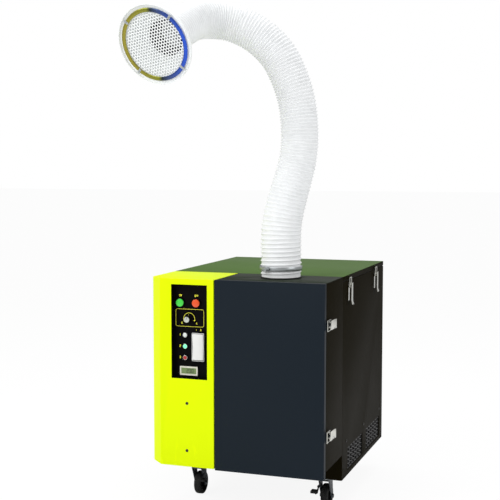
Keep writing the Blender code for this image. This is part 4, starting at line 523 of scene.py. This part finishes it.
def makePiece(name, shapes, finish, body="cabinet", replaced=(), sharpAngle=35, attributes=None,
              lay=None):
    counts = np.cumsum([0] + [len(points) for points, faces in shapes])
    points = np.concatenate([points for points, faces in shapes])
    faces = np.concatenate([faces + start for start, (points_, faces) in zip(counts, shapes)])
    mesh = bpy.data.meshes.new(name)
    mesh.from_pydata(points.tolist(), [], faces.tolist())
    for attribute, values in (attributes or {}).items():
        layer = mesh.attributes.new(attribute, "FLOAT", "POINT")
        layer.data.foreach_set("value", values.astype(np.float32))
    if lay is not None:
        mesh.uv_layers.new(name="lay").data.foreach_set("uv", lay[faces.ravel()].astype(np.float32).ravel())
    bm = bmesh.new()
    bm.from_mesh(mesh)
    bmesh.ops.remove_doubles(bm, verts=bm.verts, dist=0.000002)
    bmesh.ops.recalc_face_normals(bm, faces=bm.faces)
    bm.to_mesh(mesh)
    bm.free()
    return finishMesh(mesh, name, finish, body, replaced, sharpAngle)


def dressNode(node, finish, bevel, segments=2):
    # a CAD piece with its doubles merged, its flats made whole and its edges rounded
    source = nodes[node]
    bm = bmesh.new()
    bm.from_mesh(source.data)
    bmesh.ops.remove_doubles(bm, verts=bm.verts, dist=0.00001)
    bmesh.ops.dissolve_limit(bm, angle_limit=math.radians(1), verts=bm.verts, edges=bm.edges)
    mesh = bpy.data.meshes.new(node + "_dressed")
    bm.to_mesh(mesh)
    bm.free()
    piece = finishMesh(mesh, node + "_dressed", finish, source["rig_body"], (node,), 0)
    rounding = piece.modifiers.new("edges", "BEVEL")
    rounding.width = bevel
    rounding.segments = segments
    rounding.limit_method = "ANGLE"
    rounding.angle_limit = math.radians(40)
    rounding.harden_normals = True
    rounding.use_clamp_overlap = True
    return piece


slotOf = {name: node.data.materials[0].name.split(".")[0] for name, node in nodes.items()}
makeCamera()
makeLamps()
print("camera and lamps set")


# Floor and backdrop


def makeStage():
    world = bpy.data.worlds.new("studioWorld")
    world.use_nodes = True
    tree = world.node_tree
    path = tree.nodes.new("ShaderNodeLightPath")
    source = None
    for ray, value in (("Is Glossy Ray", studio["glossSky"]), ("Is Camera Ray", 1.0)):
        strength = tree.nodes.new("ShaderNodeMapRange")
        strength.inputs["To Min"].default_value = studio["skyStrength"]
        strength.inputs["To Max"].default_value = value
        tree.links.new(path.outputs[ray], strength.inputs["Value"])
        if source:
            tree.links.new(source, strength.inputs["To Min"])
        source = strength.outputs[0]
    tree.links.new(source, tree.nodes["Background"].inputs["Strength"])
    tree.nodes["Background"].inputs["Color"].default_value = rgba(1, 1, 1)
    bpy.context.scene.world = world
    bpy.context.scene.view_settings.view_transform = "Standard"

    ground = Finish("studioFloor", specular=0.0)
    pale = studio["floorColour"]
    ground.wear(colour=ground.blend(ground.noise(0.4), shade(pale, 0.99), pale), rough=0.9)
    seen = ground.node("LightPath", output=0) * (1 - studio["floorShadow"])
    white = ground.node("Emission", values={"Color": rgba(1, 1, 1), "Strength": studio["floorGlow"]})
    mixed = ground.node("MixShader", values={0: seen, 1: Signal(ground, ground.shader.outputs[0]), 2: white})
    ground.tree.links.new(mixed.socket, ground.tree.nodes["Material Output"].inputs["Surface"])
    half = studio["floorHalf"]
    mesh = bpy.data.meshes.new("studioFloor")
    corners = [(-half, -half, 0), (half, -half, 0), (half, half, 0), (-half, half, 0)]
    mesh.from_pydata(corners, [], [(0, 1, 2, 3)])
    mesh.materials.append(ground.material)
    floor = bpy.data.objects.new("studioFloor", mesh)
    bpy.context.scene.collection.objects.link(floor)


makeStage()
print("floor and backdrop set")


# CAD pieces: a finish for each, and rounded edges where the light catches them

roundedPieces = {
    "door": (doorLitPaint, 0.0013), "control_cover": (finishes["yellow_paint"], 0.0011),
    "lid": (finishes["dark_paint"], 0.0011), "front_deck": (finishes["dark_paint"], 0.0009),
    "left_side_panel": (finishes["dark_paint"], 0.0008), "right_side_panel": (finishes["dark_paint"], 0.0008),
    "rear_panel": (finishes["dark_paint"], 0.0008), "front_box": (finishes["dark_paint"], 0.0008),
    "base_pan": (finishes["dark_paint"], 0.0006), "control_plate": (finishes["black_plastic"], 0.0003),
    "power_rocker": (finishes["white_plastic"], 0.0012), "hose_clamp": (finishes["zinc"], 0.0002),
}
for latchName in ("door_latch_lower", "door_latch_upper", "lid_latch_front", "lid_latch_rear"):
    roundedPieces[latchName + "_base"] = (finishes["chrome"], 0.0003)
    roundedPieces[latchName + "_lever"] = (finishes["chrome"], 0.0005)
for side in ("left", "right"):
    roundedPieces["front_caster_fork_" + side] = (forkShadedZinc, 0.0006)
    roundedPieces["front_caster_plate_" + side] = (finishes["zinc"], 0.0005)
    roundedPieces["rear_caster_bracket_" + side] = (forkShadedZinc, 0.0006)
    roundedPieces["brake_pedal_" + side] = (finishes["black_paint"], 0.0006)


def dressAll():
    for node, (finish, bevel) in roundedPieces.items():
        piece = dressNode(node, finish, bevel)
        # the upward faces of the lid and the deck take the painted reflection colours
        if node in ("lid", "front_deck"):
            piece.data.materials.append(topReflectionPaint if node == "lid" else deckReflectionPaint)
            normals = np.empty(len(piece.data.polygons) * 3, np.float32)
            piece.data.polygons.foreach_get("normal", normals)
            upward = (normals.reshape(-1, 3)[:, 2] > 0.5).astype(np.int32)
            piece.data.polygons.foreach_set("material_index", upward)
    for name, node in nodes.items():
        if name not in roundedPieces:
            node.data.materials[0] = finishes[slotOf[name]]


dressAll()
print("CAD pieces finished,", len(roundedPieces), "with rounded edges")


# Hose: a wire wound along a bent line, with cloth sagging between its turns

hose = {
    "foot": (0.378, 0.1326, 0.7371),
    "straight": 0.117,
    "reach": 0.2740,
    "rise": 0.7647,
    "shares": (
        # reach, rise, lean
        (-0.015, 0.224, 0), (-0.058, 0.296, 0), (-0.124, 0.381, 0), (-0.180, 0.463, 0), (-0.200, 0.560, 0),
        (-0.164, 0.690, -0.015), (-0.078, 0.787, -0.038), (0.042, 0.869, -0.070), (0.208, 0.931, -0.105),
        (0.383, 0.971, -0.130), (0.504, 0.988, -0.136), (0.641, 1.000, -0.119), (0.752, 1.002, -0.079),
        (0.853, 0.999, -0.016), (0.938, 0.991, 0.066), (1.000, 0.976, 0.157),
    ),
    "radius": 0.0570,
    "footRadius": 0.0617,
    "pitch": 0.0096,
    "footPitch": 0.0129,
    "ridge": 0.0036,
    "wall": 0.0050,
    "wireWide": 0.17,       # in turns
    "taperShares": (0.10, 0.35),
    "endShare": 0.012,
    # ridge share given to the bore, which greys the inside of the hose as painted shade
    "boreShadeRidge": 0.4,
    "rings": 960,
    "boreRings": 150,
    "sides": 72,
}
hoodTurn, hoodDrop = math.radians(9.5), math.radians(24.1)
aim = np.array((-math.sin(hoodTurn) * math.cos(hoodDrop), -math.cos(hoodTurn) * math.cos(hoodDrop),
                -math.sin(hoodDrop)))


def hoseGuides():
    yaw = math.radians(view["yaw"])
    reach, rise = hose["reach"], hose["rise"]
    ways = np.array([(-math.cos(yaw) * reach, -math.sin(yaw) * reach, 0), (0, 0, rise),
                     (math.sin(yaw) * reach, -math.cos(yaw) * reach, 0)])
    foot = np.array(hose["foot"])
    arm = np.array((foot[0], foot[1], cabinet["height"])) + np.array(hose["shares"]) @ ways
    straight = foot + np.array((0, 0, hose["straight"]))
    return np.concatenate([[foot, straight], arm, [arm[-1] + aim * hose["straight"]]]) + np.array(corner)


def hoseLine(count):
    # between two guides h and k runs the cubic (2ttt-3tt+1)h + (ttt-2tt+t)out + (3tt-2ttt)k + (ttt-tt)into
    guides = hoseGuides()
    gaps = np.sqrt(np.linalg.norm(np.diff(guides, axis=0), axis=1))[:, None]
    before, here, there, after = guides[:-3], guides[1:-2], guides[2:-1], guides[3:]
    near, own, far = gaps[:-2], gaps[1:-1], gaps[2:]
    slope = (there - here) / own
    out = ((here - before) / near - (there - before) / (near + own) + slope) * own
    into = (slope - (after - here) / (own + far) + (after - there) / far) * own
    t = np.linspace(0, 1, 24, endpoint=False)[None, :, None]
    curve = ((2 * t ** 3 - 3 * t ** 2 + 1) * here[:, None] + (t ** 3 - 2 * t ** 2 + t) * out[:, None]
             + (3 * t ** 2 - 2 * t ** 3) * there[:, None] + (t ** 3 - t ** 2) * into[:, None]).reshape(-1, 3)
    line = np.concatenate([guides[:1], curve, guides[-2:]])
    run = np.concatenate([[0], np.cumsum(np.linalg.norm(np.diff(line, axis=0), axis=1))])
    wanted = np.linspace(0, run[-1], count)
    points = np.stack([np.interp(wanted, run, line[:, axis]) for axis in range(3)], axis=-1)
    tangent = np.gradient(points, axis=0)
    tangent[0] = (0, 0, 1)
    tangent[-1] = aim
    tangent /= np.linalg.norm(tangent, axis=1, keepdims=True)
    return points, tangent, wanted


def eased(share, start, end):
    # 3ss - 2sss on the way from start to end
    s = np.clip((share - start) / (end - start), 0, 1)
    return s * s * (3 - 2 * s)


def makeHose():
    # point + r cos a across + r sin a up, where r = main - ridge (1 - exp(-(d/wide)(d/wide))) and d is the
    # distance, in turns, from the nearest turn of the wire
    points, tangent, run = hoseLine(hose["rings"])
    yaw = math.radians(view["yaw"])
    front = np.array((math.sin(yaw), -math.cos(yaw), 0))
    across = front - tangent * (tangent @ front)[:, None]
    across /= np.linalg.norm(across, axis=1, keepdims=True)
    up = np.cross(tangent, across)
    share = run / run[-1]
    ease = eased(share, *hose["taperShares"])
    main = hose["footRadius"] + (hose["radius"] - hose["footRadius"]) * ease
    pitch = hose["footPitch"] + (hose["pitch"] - hose["footPitch"]) * ease
    turns = np.concatenate([[0], np.cumsum(np.diff(run) / pitch[1:])])
    angle = np.linspace(0, fullTurn, hose["sides"], endpoint=False)
    phase = turns[:, None] - angle[None] / fullTurn
    away = np.abs(phase - np.round(phase))
    wire = np.exp(-(away / hose["wireWide"]) ** 2)
    ends = np.minimum(eased(share, 0, hose["endShare"]), eased(1 - share, 0, hose["endShare"]))[:, None]
    radius = main[:, None] - hose["ridge"] * (1 - wire * ends)
    inner = np.linspace(hose["rings"] - 1, 0, hose["boreRings"]).astype(int)
    rows = np.concatenate([np.arange(hose["rings"]), inner])
    radius = np.concatenate([radius, (main[inner] - hose["wall"])[:, None] + 0 * angle[None]])
    grid = (points[rows][:, None] + radius[..., None] * (np.cos(angle)[None, :, None] * across[rows][:, None]
            + np.sin(angle)[None, :, None] * up[rows][:, None]))
    ridge = np.concatenate([wire, np.full((len(inner), hose["sides"]), hose["boreShadeRidge"])])
    folded = 1 - np.abs(1 - angle / math.pi)
    lay = np.stack([folded[None] + 0 * ridge, run[rows][:, None] + 0 * ridge], axis=-1).reshape(-1, 2)
    makePiece("spiralHose", [gridShape(grid, True, True)], finishes["white_hose"],
              replaced=("hose",), sharpAngle=0, attributes={"ridge": ridge.ravel()}, lay=lay)
    return points[-1]


hoodPlace = makeHose()
print("hose made")


# Hood: cone, polished ring, clips and perforated sheet, all round the line of the hose's end

hood = {
    "seat": 0.0702,
    "wall": 0.0016,
    "throat": 0.054,
    "throatLong": 0.008,
    "mouth": 0.0965,
    "rim": 0.1155,
    "rimRise": 0.006,
    "spigot": (0.0450, 0.0488),
    "spigotLong": 0.045,
    "gap": 0.0003,
    "cornerRound": 0.0012,
    "liner": 0.0440,
    "linerWall": 0.0006,
    "linerLong": 0.0440,
    "linerRound": 0.0004,
    "ringHalves": (0.0060, 0.0022),
    "ringMiddle": (0.0988, 0.0038),
    # half width of the painted reflection's blend from olive to blue
    "reflectionBlendHalf": 0.085,
    "clipMiddle": (0.1010, 0.0042),
    "clip": (0.0150, 0.0080, 0.0020),
    "clipSections": ((0, 0), (0, 0.0016), (0.0008, 0.0024)),
    "clipRivet": ((0, 0.0042), (0.0014, 0.0038), (0.0020, 0.0030), (0.0022, 0.0010), (0, 0.0010)),
    "sheet": 0.001,
    "cellPitch": 0.0093,
    "hole": 0.0034,
    "meshRadius": 0.0985,
    "clipAngles": (127.5, 37.5, 307.5, 216.5),
}
hoodFrame = facing(aim, Vector(hoodPlace))


def makeCone():
    seat, wall, gap, rim, mouth = (hood[key] for key in ("seat", "wall", "gap", "rim", "mouth"))
    throat, throatLong, lip = hood["throat"], hood["throatLong"], seat + hood["rimRise"]
    inner, outer = hood["spigot"]
    profile = softened([(inner, -hood["spigotLong"]), (outer, -hood["spigotLong"]), (outer, gap),
                        (throat + wall, gap), (throat + wall, throatLong), (mouth + wall, seat - 2 * wall),
                        (rim, seat - 2 * wall), (rim, lip), (rim - wall, lip), (rim - 2 * wall, seat),
                        (mouth, seat), (throat, throatLong), (throat, gap + wall), (inner, gap + wall)],
                       hood["cornerRound"])
    makePiece("hoodCone", [movedShape(turnedShape(profile, 160, True), hoodFrame)], coneGlowPaint,
              replaced=("hood_cone",))


def makeShadeLiner():
    # a black sleeve that darkens the throat behind the perforated sheet: painted shade
    outer, inner = hood["throat"] - hood["gap"], hood["throat"] - 0.0010
    tube, bore, end = hood["liner"] + hood["linerWall"], hood["liner"], -hood["linerLong"]
    lip = hood["throatLong"] + 0.0010
    profile = softened([(outer, lip), (outer, 0.0026), (tube, 0.0024), (tube, end), (bore, end),
                        (bore, 0.0032), (inner, 0.0034), (inner, lip)], hood["linerRound"])
    liner = movedShape(turnedShape(profile, 120, True), hoodFrame)
    makePiece("throatShadeLiner", [liner], finishes["black_plastic"])


def makeRing():
    # a flat oval section carried round
    radius, rise = hood["ringMiddle"]
    section = circleProfile(1.0, 24) * hood["ringHalves"] + (radius, hood["seat"] + rise)
    # painted reflection: colours blended from olive to blue across the ring's width
    ringReflection = paintedReflectionSteel("paintedReflectionSteel", hoodPlace[0], hood["reflectionBlendHalf"])
    makePiece("hoodRing", [movedShape(turnedShape(section, 160, True), hoodFrame)], ringReflection,
              replaced=("hood_ring",), sharpAngle=0)
    clips = []
    radius, rise = hood["clipMiddle"]
    for angle in np.radians(hood["clipAngles"]):
        lift = Matrix.Rotation(angle, 4, "Z") @ Matrix.Translation((radius, 0, hood["seat"] + rise))
        clips.append(movedShape(slabShape(*hood["clip"], hood["clipSections"]), hoodFrame @ lift))
        clips.append(movedShape(turnedShape(hood["clipRivet"], 20), hoodFrame @ lift))
    makePiece("hoodClips", clips, finishes["zinc"])


def makePerforated():
    # in each six-sided cell, a point on its edge at angle a is joined to the hole's (r cos a, r sin a)
    pitch, radius = hood["cellPitch"], hood["meshRadius"]
    span = int(radius / pitch) + 2
    row, column = np.meshgrid(np.arange(-span, span + 1), np.arange(-span, span + 1))
    centres = np.stack([(column + row % 2 / 2) * pitch, row * pitch * math.sqrt(3) / 2], axis=-1)
    centres = centres.reshape(-1, 2)
    centres = centres[np.linalg.norm(centres, axis=1) < radius]
    angle = np.arange(12) * math.pi / 6
    edge = pitch / 2 / np.cos((angle + math.pi / 6) % (math.pi / 3) - math.pi / 6)
    ways = np.stack([np.cos(angle), np.sin(angle)], axis=-1)
    cell = np.stack([ways * hood["hole"], ways * edge[:, None]])
    grid = centres[:, None, None] + cell[None]
    grid = np.concatenate([grid, np.full(grid.shape[:-1] + (1,), hood["seat"] + hood["gap"])], axis=-1)
    shapes = [movedShape(gridShape(one, False, True), hoodFrame) for one in grid]
    sheet = makePiece("hoodPerforated", shapes, coneGlowPaint, replaced=("hood_mesh",),
                      sharpAngle=30)
    thick = sheet.modifiers.new("thick", "SOLIDIFY")
    thick.thickness = hood["sheet"]
    thick.offset = 0


makeCone()
makeShadeLiner()
makeRing()
makePerforated()
print("hood made")


# Control panel: rims, domes, knob, meter and plain printed marks

panel = {
    "recess": 0.023,
    "buttons": (("start_button", 0.0974, "green_plastic"), ("stop_button", 0.1489, "red_plastic")),
    "buttonUp": 0.6598,
    "knob": (0.1250, 0.6115),
    "lampAcross": 0.1135,
    "lamps": ((0.5630, "whiteLamp", whiteLens), (0.52875, "greenLamp", greenLens),
              (0.4945, "redLamp", redLens)),
    "rocker": (0.1554, 0.5282),
    "meter": (0.1249, 0.4546),
    "buttonCap": (0.0120, 0.0036, 0.0088, 0.0016),      # radius, foot, proud, rounding
    "buttonRim": ((0.0128, 0.0002), (0.0150, 0.0002), (0.0146, 0.0056), (0.0128, 0.0056)),
    "buttonRimRound": 0.0008,
    "lampDome": (0.0058, 0.0042, 0.0072, 0.0014),
    "lampRim": ((0.0059, 0.0042), (0.0074, 0.0042), (0.0071, 0.0062), (0.0061, 0.0062)),
    "lampRimRound": 0.0004,
    "meterProud": 0.0040,
    "meterRim": (0.0577, 0.0274, 0.0022),               # wide, tall, corner
    "meterRimSections": ((0, 0.0001), (0.0002, 0.0014), (0.0008, 0.0018), (0.0042, 0.0016), (0.0050, 0.0004),
                         (0.0050, 0.0001)),
    "meterGlass": (0.0474, 0.0171, 0.0008),
    "meterGlassSections": ((0, 0.0001), (0, 0.0006)),
    "digits": {"text": "230", "tall": 0.0100, "weight": 0.13, "lift": (0.004, 0, 0.0007)},
    "rockerProud": 0.0060,
    "rockerTrim": (0.0396, 0.0852, 0.0030),
    "rockerTrimSections": ((0, 0.0001), (0.0002, 0.0010), (0.0006, 0.0014), (0.0015, 0.0012),
                           (0.0019, 0.0001)),
}
knob = {
    "side": ((0.0134, 0.0006), (0.0134, 0.0040), (0.0108, 0.0046), (0.0100, 0.0190), (0.0092, 0.0200),
             (0.0, 0.0200)),
    "sideRound": 0.0006,
    "flutes": 16,
    "fluteDeep": 0.00045,
    "fluteRun": (0.0046, 0.0070),
    "fluteCore": 0.005,
    "cap": (0.0086, 0.0196, 0.0222, 0.0010),
    # marks: from, to, weight, thick, lift
    "line": ((0, 0.0010), (0, 0.0074), 0.0013, 0.0004, 0.0230),
    "tick": ((0, 0.0110), (0, 0.0128), 0.0011, 0.0003, 0.0041),
}
printed = {
    "frameMiddle": (0.1270, 0.6145),
    "frame": (0.0908, 0.0530, 0.0060),
    "frameSections": ((0, 0), (0, 0.00020), (0.0008, 0.00020), (0.0008, 0)),
    "arcRadius": 0.0180,
    "arcFrom": 215,
    "arcTo": -20,
    "arcSection": ((-0.0005, 0), (0.0005, 0), (0.0005, 0.0002), (-0.0005, 0.0002)),
    "barbs": ((0.0022, 0.0034), (-0.0034, 0.0022)),
    "barbWeight": 0.0009,
    "words": (
        # text, across, up, tall
        ("ON", 0.0974, 0.6815, 0.0052), ("OFF", 0.1489, 0.6815, 0.0052), ("0", 0.1015, 0.5985, 0.0048),
        ("5", 0.1490, 0.5985, 0.0048), ("1", 0.0955, 0.5630, 0.0060), ("2", 0.0955, 0.52875, 0.0060),
        ("3", 0.0955, 0.4945, 0.0060), ("I", 0.1480, 0.5790, 0.0046), ("O", 0.1620, 0.5790, 0.0046),
    ),
}
strokes = {
    # each stroke from (x, y) to (x, y) on a field two wide and four tall
    "O": ((0, 0, 2, 0), (2, 0, 2, 4), (2, 4, 0, 4), (0, 4, 0, 0)),
    "N": ((0, 0, 0, 4), (0, 4, 2, 0), (2, 0, 2, 4)),
    "F": ((0, 0, 0, 4), (0, 4, 2, 4), (0, 2, 1.6, 2)),
    "I": ((1, 0, 1, 4),),
    "1": ((1, 0, 1, 4),),
    "2": ((0, 4, 2, 4), (2, 4, 2, 2), (2, 2, 0, 2), (0, 2, 0, 0), (0, 0, 2, 0)),
    "3": ((0, 4, 2, 4), (2, 4, 2, 0), (2, 0, 0, 0), (0, 2, 2, 2)),
    "5": ((2, 4, 0, 4), (0, 4, 0, 2), (0, 2, 2, 2), (2, 2, 2, 0), (2, 0, 0, 0)),
    "0": ((0, 0, 2, 0), (2, 0, 2, 4), (2, 4, 0, 4), (0, 4, 0, 0)),
}


def onPanel(across, up, out=0.0):
    return onFront(across, up, panel["recess"] - out)


def barShape(start, end, weight, thick=0.0002):
    # a flat rounded bar from start to end, and its place on the XY plane
    start, end = np.array(start), np.array(end)
    way = end - start
    long = np.linalg.norm(way) + weight
    turn = Matrix.Rotation(math.atan2(way[1], way[0]), 4, "Z")
    middle = (start + end) / 2
    lift = Matrix.Translation((middle[0], middle[1], 0)) @ turn
    return movedShape(slabShape(long, weight, weight * 0.4, ((0, 0), (0, thick)), steps=2), lift)


def markShapes(text, tall, frameMatrix, weight=0.16):
    unit = tall / 4
    wide = (len(text) * 3.2 - 1.2) * unit
    shapes = []
    for order, letter in enumerate(text):
        shift = np.array((order * 3.2 * unit - wide / 2, -tall / 2))
        for line in strokes[letter]:
            ends = np.array(line).reshape(2, 2) * unit + shift
            shapes.append(movedShape(barShape(ends[0], ends[1], tall * weight), frameMatrix))
    return shapes


def domeProfile(radius, foot, proud, edge):
    # straight side, then a quarter oval: (r - e + e cos a, p - e + e sin a), then a low crown
    angle = np.linspace(0, math.pi / 2, 8)
    rows = [(0, foot), (radius, foot)]
    rows += [(radius - edge + edge * math.cos(a), proud - edge + edge * math.sin(a)) for a in angle]
    rows += [((radius - edge) * s, proud + 0.0012 * (1 - s * s)) for s in (0.75, 0.5, 0.25, 0)]
    return rows


def makeButtons():
    for body, across, slot in panel["buttons"]:
        place = onPanel(across, panel["buttonUp"])
        cap = turnedShape(domeProfile(*panel["buttonCap"]), 64)
        makePiece(body + "Cap", [movedShape(cap, place)], finishes[slot], body, (body,))
        rim = turnedShape(softened(panel["buttonRim"], panel["buttonRimRound"]), 64, True)
        makePiece(body + "Rim", [movedShape(rim, place)], finishes["black_plastic"])


def makeKnob():
    # the fluted side: r - depth (1 - cos(16 a)) at every angle a
    angle = np.linspace(0, fullTurn, 160, endpoint=False)[:, None]
    profile = softened(knob["side"], knob["sideRound"], closed=False)
    flutes = eased(profile[:, 1], *knob["fluteRun"]) * (profile[:, 0] > knob["fluteCore"])
    radius = profile[:, 0] - knob["fluteDeep"] * (1 - np.cos(knob["flutes"] * angle)) * flutes
    grid = np.stack([radius * np.cos(angle), radius * np.sin(angle), profile[:, 1] + 0 * angle], axis=-1)
    place = onPanel(*panel["knob"])
    makePiece("knobSkirt", [movedShape(gridShape(grid, True, False), place)], finishes["black_plastic"],
              "speed_knob", ("speed_knob",), sharpAngle=45)
    cap = turnedShape(domeProfile(*knob["cap"]), 64)
    makePiece("knobCap", [movedShape(cap, place)], finishes["knob_plastic"], "speed_knob")
    for name, key, finish in (("knobLine", "line", inkPrint), ("knobTick", "tick", glowPrint)):
        start, end, weight, thick, lift = knob[key]
        line = movedShape(barShape(start, end, weight, thick), place @ Matrix.Translation((0, 0, lift)))
        makePiece(name, [line], finish, "speed_knob")


def makeLampLenses():
    for up, name, lens in panel["lamps"]:
        place = onPanel(panel["lampAcross"], up)
        makePiece(name, [movedShape(turnedShape(domeProfile(*panel["lampDome"]), 48), place)], lens)
        rim = turnedShape(softened(panel["lampRim"], panel["lampRimRound"]), 48, True)
        makePiece(name + "Rim", [movedShape(rim, place)], finishes["chrome"])


def makeMeter():
    place = onPanel(*panel["meter"], panel["meterProud"])
    rim = slabShape(*panel["meterRim"], panel["meterRimSections"], True)
    makePiece("meterFrame", [movedShape(rim, place)], creamPlastic)
    window = slabShape(*panel["meterGlass"], panel["meterGlassSections"])
    makePiece("meterWindow", [movedShape(window, place)], display)
    digits = panel["digits"]
    lifted = place @ Matrix.Translation(digits["lift"])
    makePiece("meterDigits", markShapes(digits["text"], digits["tall"], lifted, digits["weight"]), inkPrint)


def makeRocker():
    place = onPanel(*panel["rocker"], panel["rockerProud"])
    rim = slabShape(*panel["rockerTrim"], panel["rockerTrimSections"], True)
    makePiece("rockerTrim", [movedShape(rim, place)], finishes["white_plastic"])


def makePrint():
    # frame, turning arrow and words, all raised by the thickness of the ink
    edge = slabShape(*printed["frame"], printed["frameSections"], True)
    marks = [movedShape(edge, onPanel(*printed["frameMiddle"]))]
    angle = np.radians(np.linspace(printed["arcFrom"], printed["arcTo"], 60))
    path = np.stack([np.cos(angle), np.sin(angle), 0 * angle], axis=-1)
    up = np.zeros_like(path) + (0, 0, 1)
    knobPlace = onPanel(*panel["knob"])
    arc = carriedShape(path * printed["arcRadius"], path, up, np.array(printed["arcSection"]), False)
    marks.append(movedShape(arc, knobPlace))
    tip = path[-1, :2] * printed["arcRadius"]
    for barb in printed["barbs"]:
        marks.append(movedShape(barShape(tip, tip + np.array(barb), printed["barbWeight"]), knobPlace))
    for text, across, up, tall in printed["words"]:
        marks += markShapes(text, tall, onPanel(across, up))
    makePiece("panelMarks", marks, glowPrint)


# Screws, vents and wheels

screws = {
    "radius": 0.0046,
    "rise": 0.0018,
    "slotHalfShare": 0.13,
    "slotLongShare": 0.62,
    "slotDeepShare": 0.55,
    "off": 0.0001,
    "front": ((0.1260, 0.3597), (0.1256, 0.2162)),
    "rightBacks": (0.266, 0.496, 0.729),
    "rightUp": 0.2170,
    "rearAcross": (0.030, 0.275, 0.520),
    "rearUps": (0.135, 0.690),
}
vents = {
    "fronts": (0.281, 0.534),
    "before": 0.003,
    "past": 0.201,
    "crossings": 52,
    "rows": 13,
    "lowest": 0.1205,
    "pitch": 0.0059,
    "swing": 0.0026,
    "halfThick": 0.00045,
    "halfTall": 0.0007,
}
wheels = {
    "undersize": 0.0002,
    "treadRound": 0.0018,
    "discRound": 0.0010,
    # a tyre's section as depths below the tread's radius and places across
    "tread": ((0, 0.0080), (0.0022, 0.0116), (0.0085, 0.0116), (0.0100, 0.0100), (0.0100, -0.0100),
              (0.0085, -0.0116), (0.0022, -0.0116), (0, -0.0080), (-0.0001, 0)),
    # half a disc's section: the first three count from the tread's radius, the others from the axle
    "discRim": ((0.0100, 0.0085), (0.0125, 0.0085), (0.0140, 0.0060)),
    "discHub": ((0.0140, 0.0060), (0.0125, 0.0140), (0.0050, 0.0142)),
}


def screwShape():
    # a dome, h sqrt(1 - ss) high at the share s of its radius, sunk along two crossed slots
    radius, rise = screws["radius"], screws["rise"]
    angle = np.linspace(0, fullTurn, 48, endpoint=False)[:, None]
    share = np.linspace(0, 1, 14)[None]
    x, y = radius * share * np.cos(angle), radius * share * np.sin(angle)
    cross = np.minimum(np.abs(x), np.abs(y)) < radius * screws["slotHalfShare"]
    sunk = cross & (share < screws["slotLongShare"])
    height = rise * np.sqrt(np.clip(1 - share ** 2, 0, 1)) - sunk * rise * screws["slotDeepShare"]
    return gridShape(np.stack([x, y, height], axis=-1)[:, ::-1], True, False)


def makeScrews():
    places = [onFront(*place) for place in screws["front"]]
    places += [onRight(back, screws["rightUp"]) for back in screws["rightBacks"]]
    places += [onRear(across, up) for across in screws["rearAcross"] for up in screws["rearUps"]]
    off = Matrix.Translation((0, 0, screws["off"]))
    makePiece("bodyScrews", copies(screwShape(), [place @ off for place in places]), darkScrew)


def makeVents():
    # strands of expanded sheet: up = row + or - swing, two points at a time, the next row the other way
    low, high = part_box("vent_mesh")
    thick, tall = vents["halfThick"], vents["halfTall"]
    section = np.array([(-thick, -tall), (thick, -tall), (thick, tall), (-thick, tall)])
    order = np.arange(vents["crossings"])
    shapes = []
    for start in vents["fronts"]:
        back = np.linspace(start - vents["before"], start + vents["past"], vents["crossings"])
        across = 0 * back + (low.x + high.x) / 2 - corner.x
        for row in range(vents["rows"]):
            swing = np.where((order // 2 + row) % 2, 1, -1) * vents["swing"]
            up = vents["lowest"] + row * vents["pitch"] + swing
            path = np.stack([across, back, up], axis=-1) + np.array(corner)
            shapes.append(carriedShape(path, np.zeros_like(path) + (1, 0, 0), np.zeros_like(path) + (0, 0, 1),
                                       section, False))
    makePiece("expandedMesh", shapes, finishes["black_paint"], sharpAngle=30)


def makeWheels():
    for part in ("front", "rear"):
        for hand in ("left", "right"):
            body, node = part + "_wheel_" + hand, part + "_caster_wheel_" + hand
            low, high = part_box(node)
            radius = (high.z - low.z) / 2 - wheels["undersize"]
            place = Matrix.Translation((low + high) / 2) @ Matrix.Rotation(math.pi / 2, 4, "Y")
            tread = softened([(radius - depth, across) for depth, across in wheels["tread"]],
                             wheels["treadRound"])
            tyre = movedShape(turnedShape(tread, 96, True), place)
            makePiece(body + "Tyre", [tyre], finishes["rubber"], body, (node,))
            half = [(radius - depth, across) for depth, across in wheels["discRim"]] + list(wheels["discHub"])
            section = softened(half + [(reach, -across) for reach, across in half[::-1]], wheels["discRound"])
            disc = movedShape(turnedShape(section, 96, True), place)
            makePiece(body + "Disc", [disc], finishes["black_plastic"], body)


makeButtons()
makeKnob()
makeLampLenses()
makeMeter()
makeRocker()
makePrint()
print("control panel made")
makeScrews()
makeVents()
makeWheels()
print("screws, vents and wheels made")
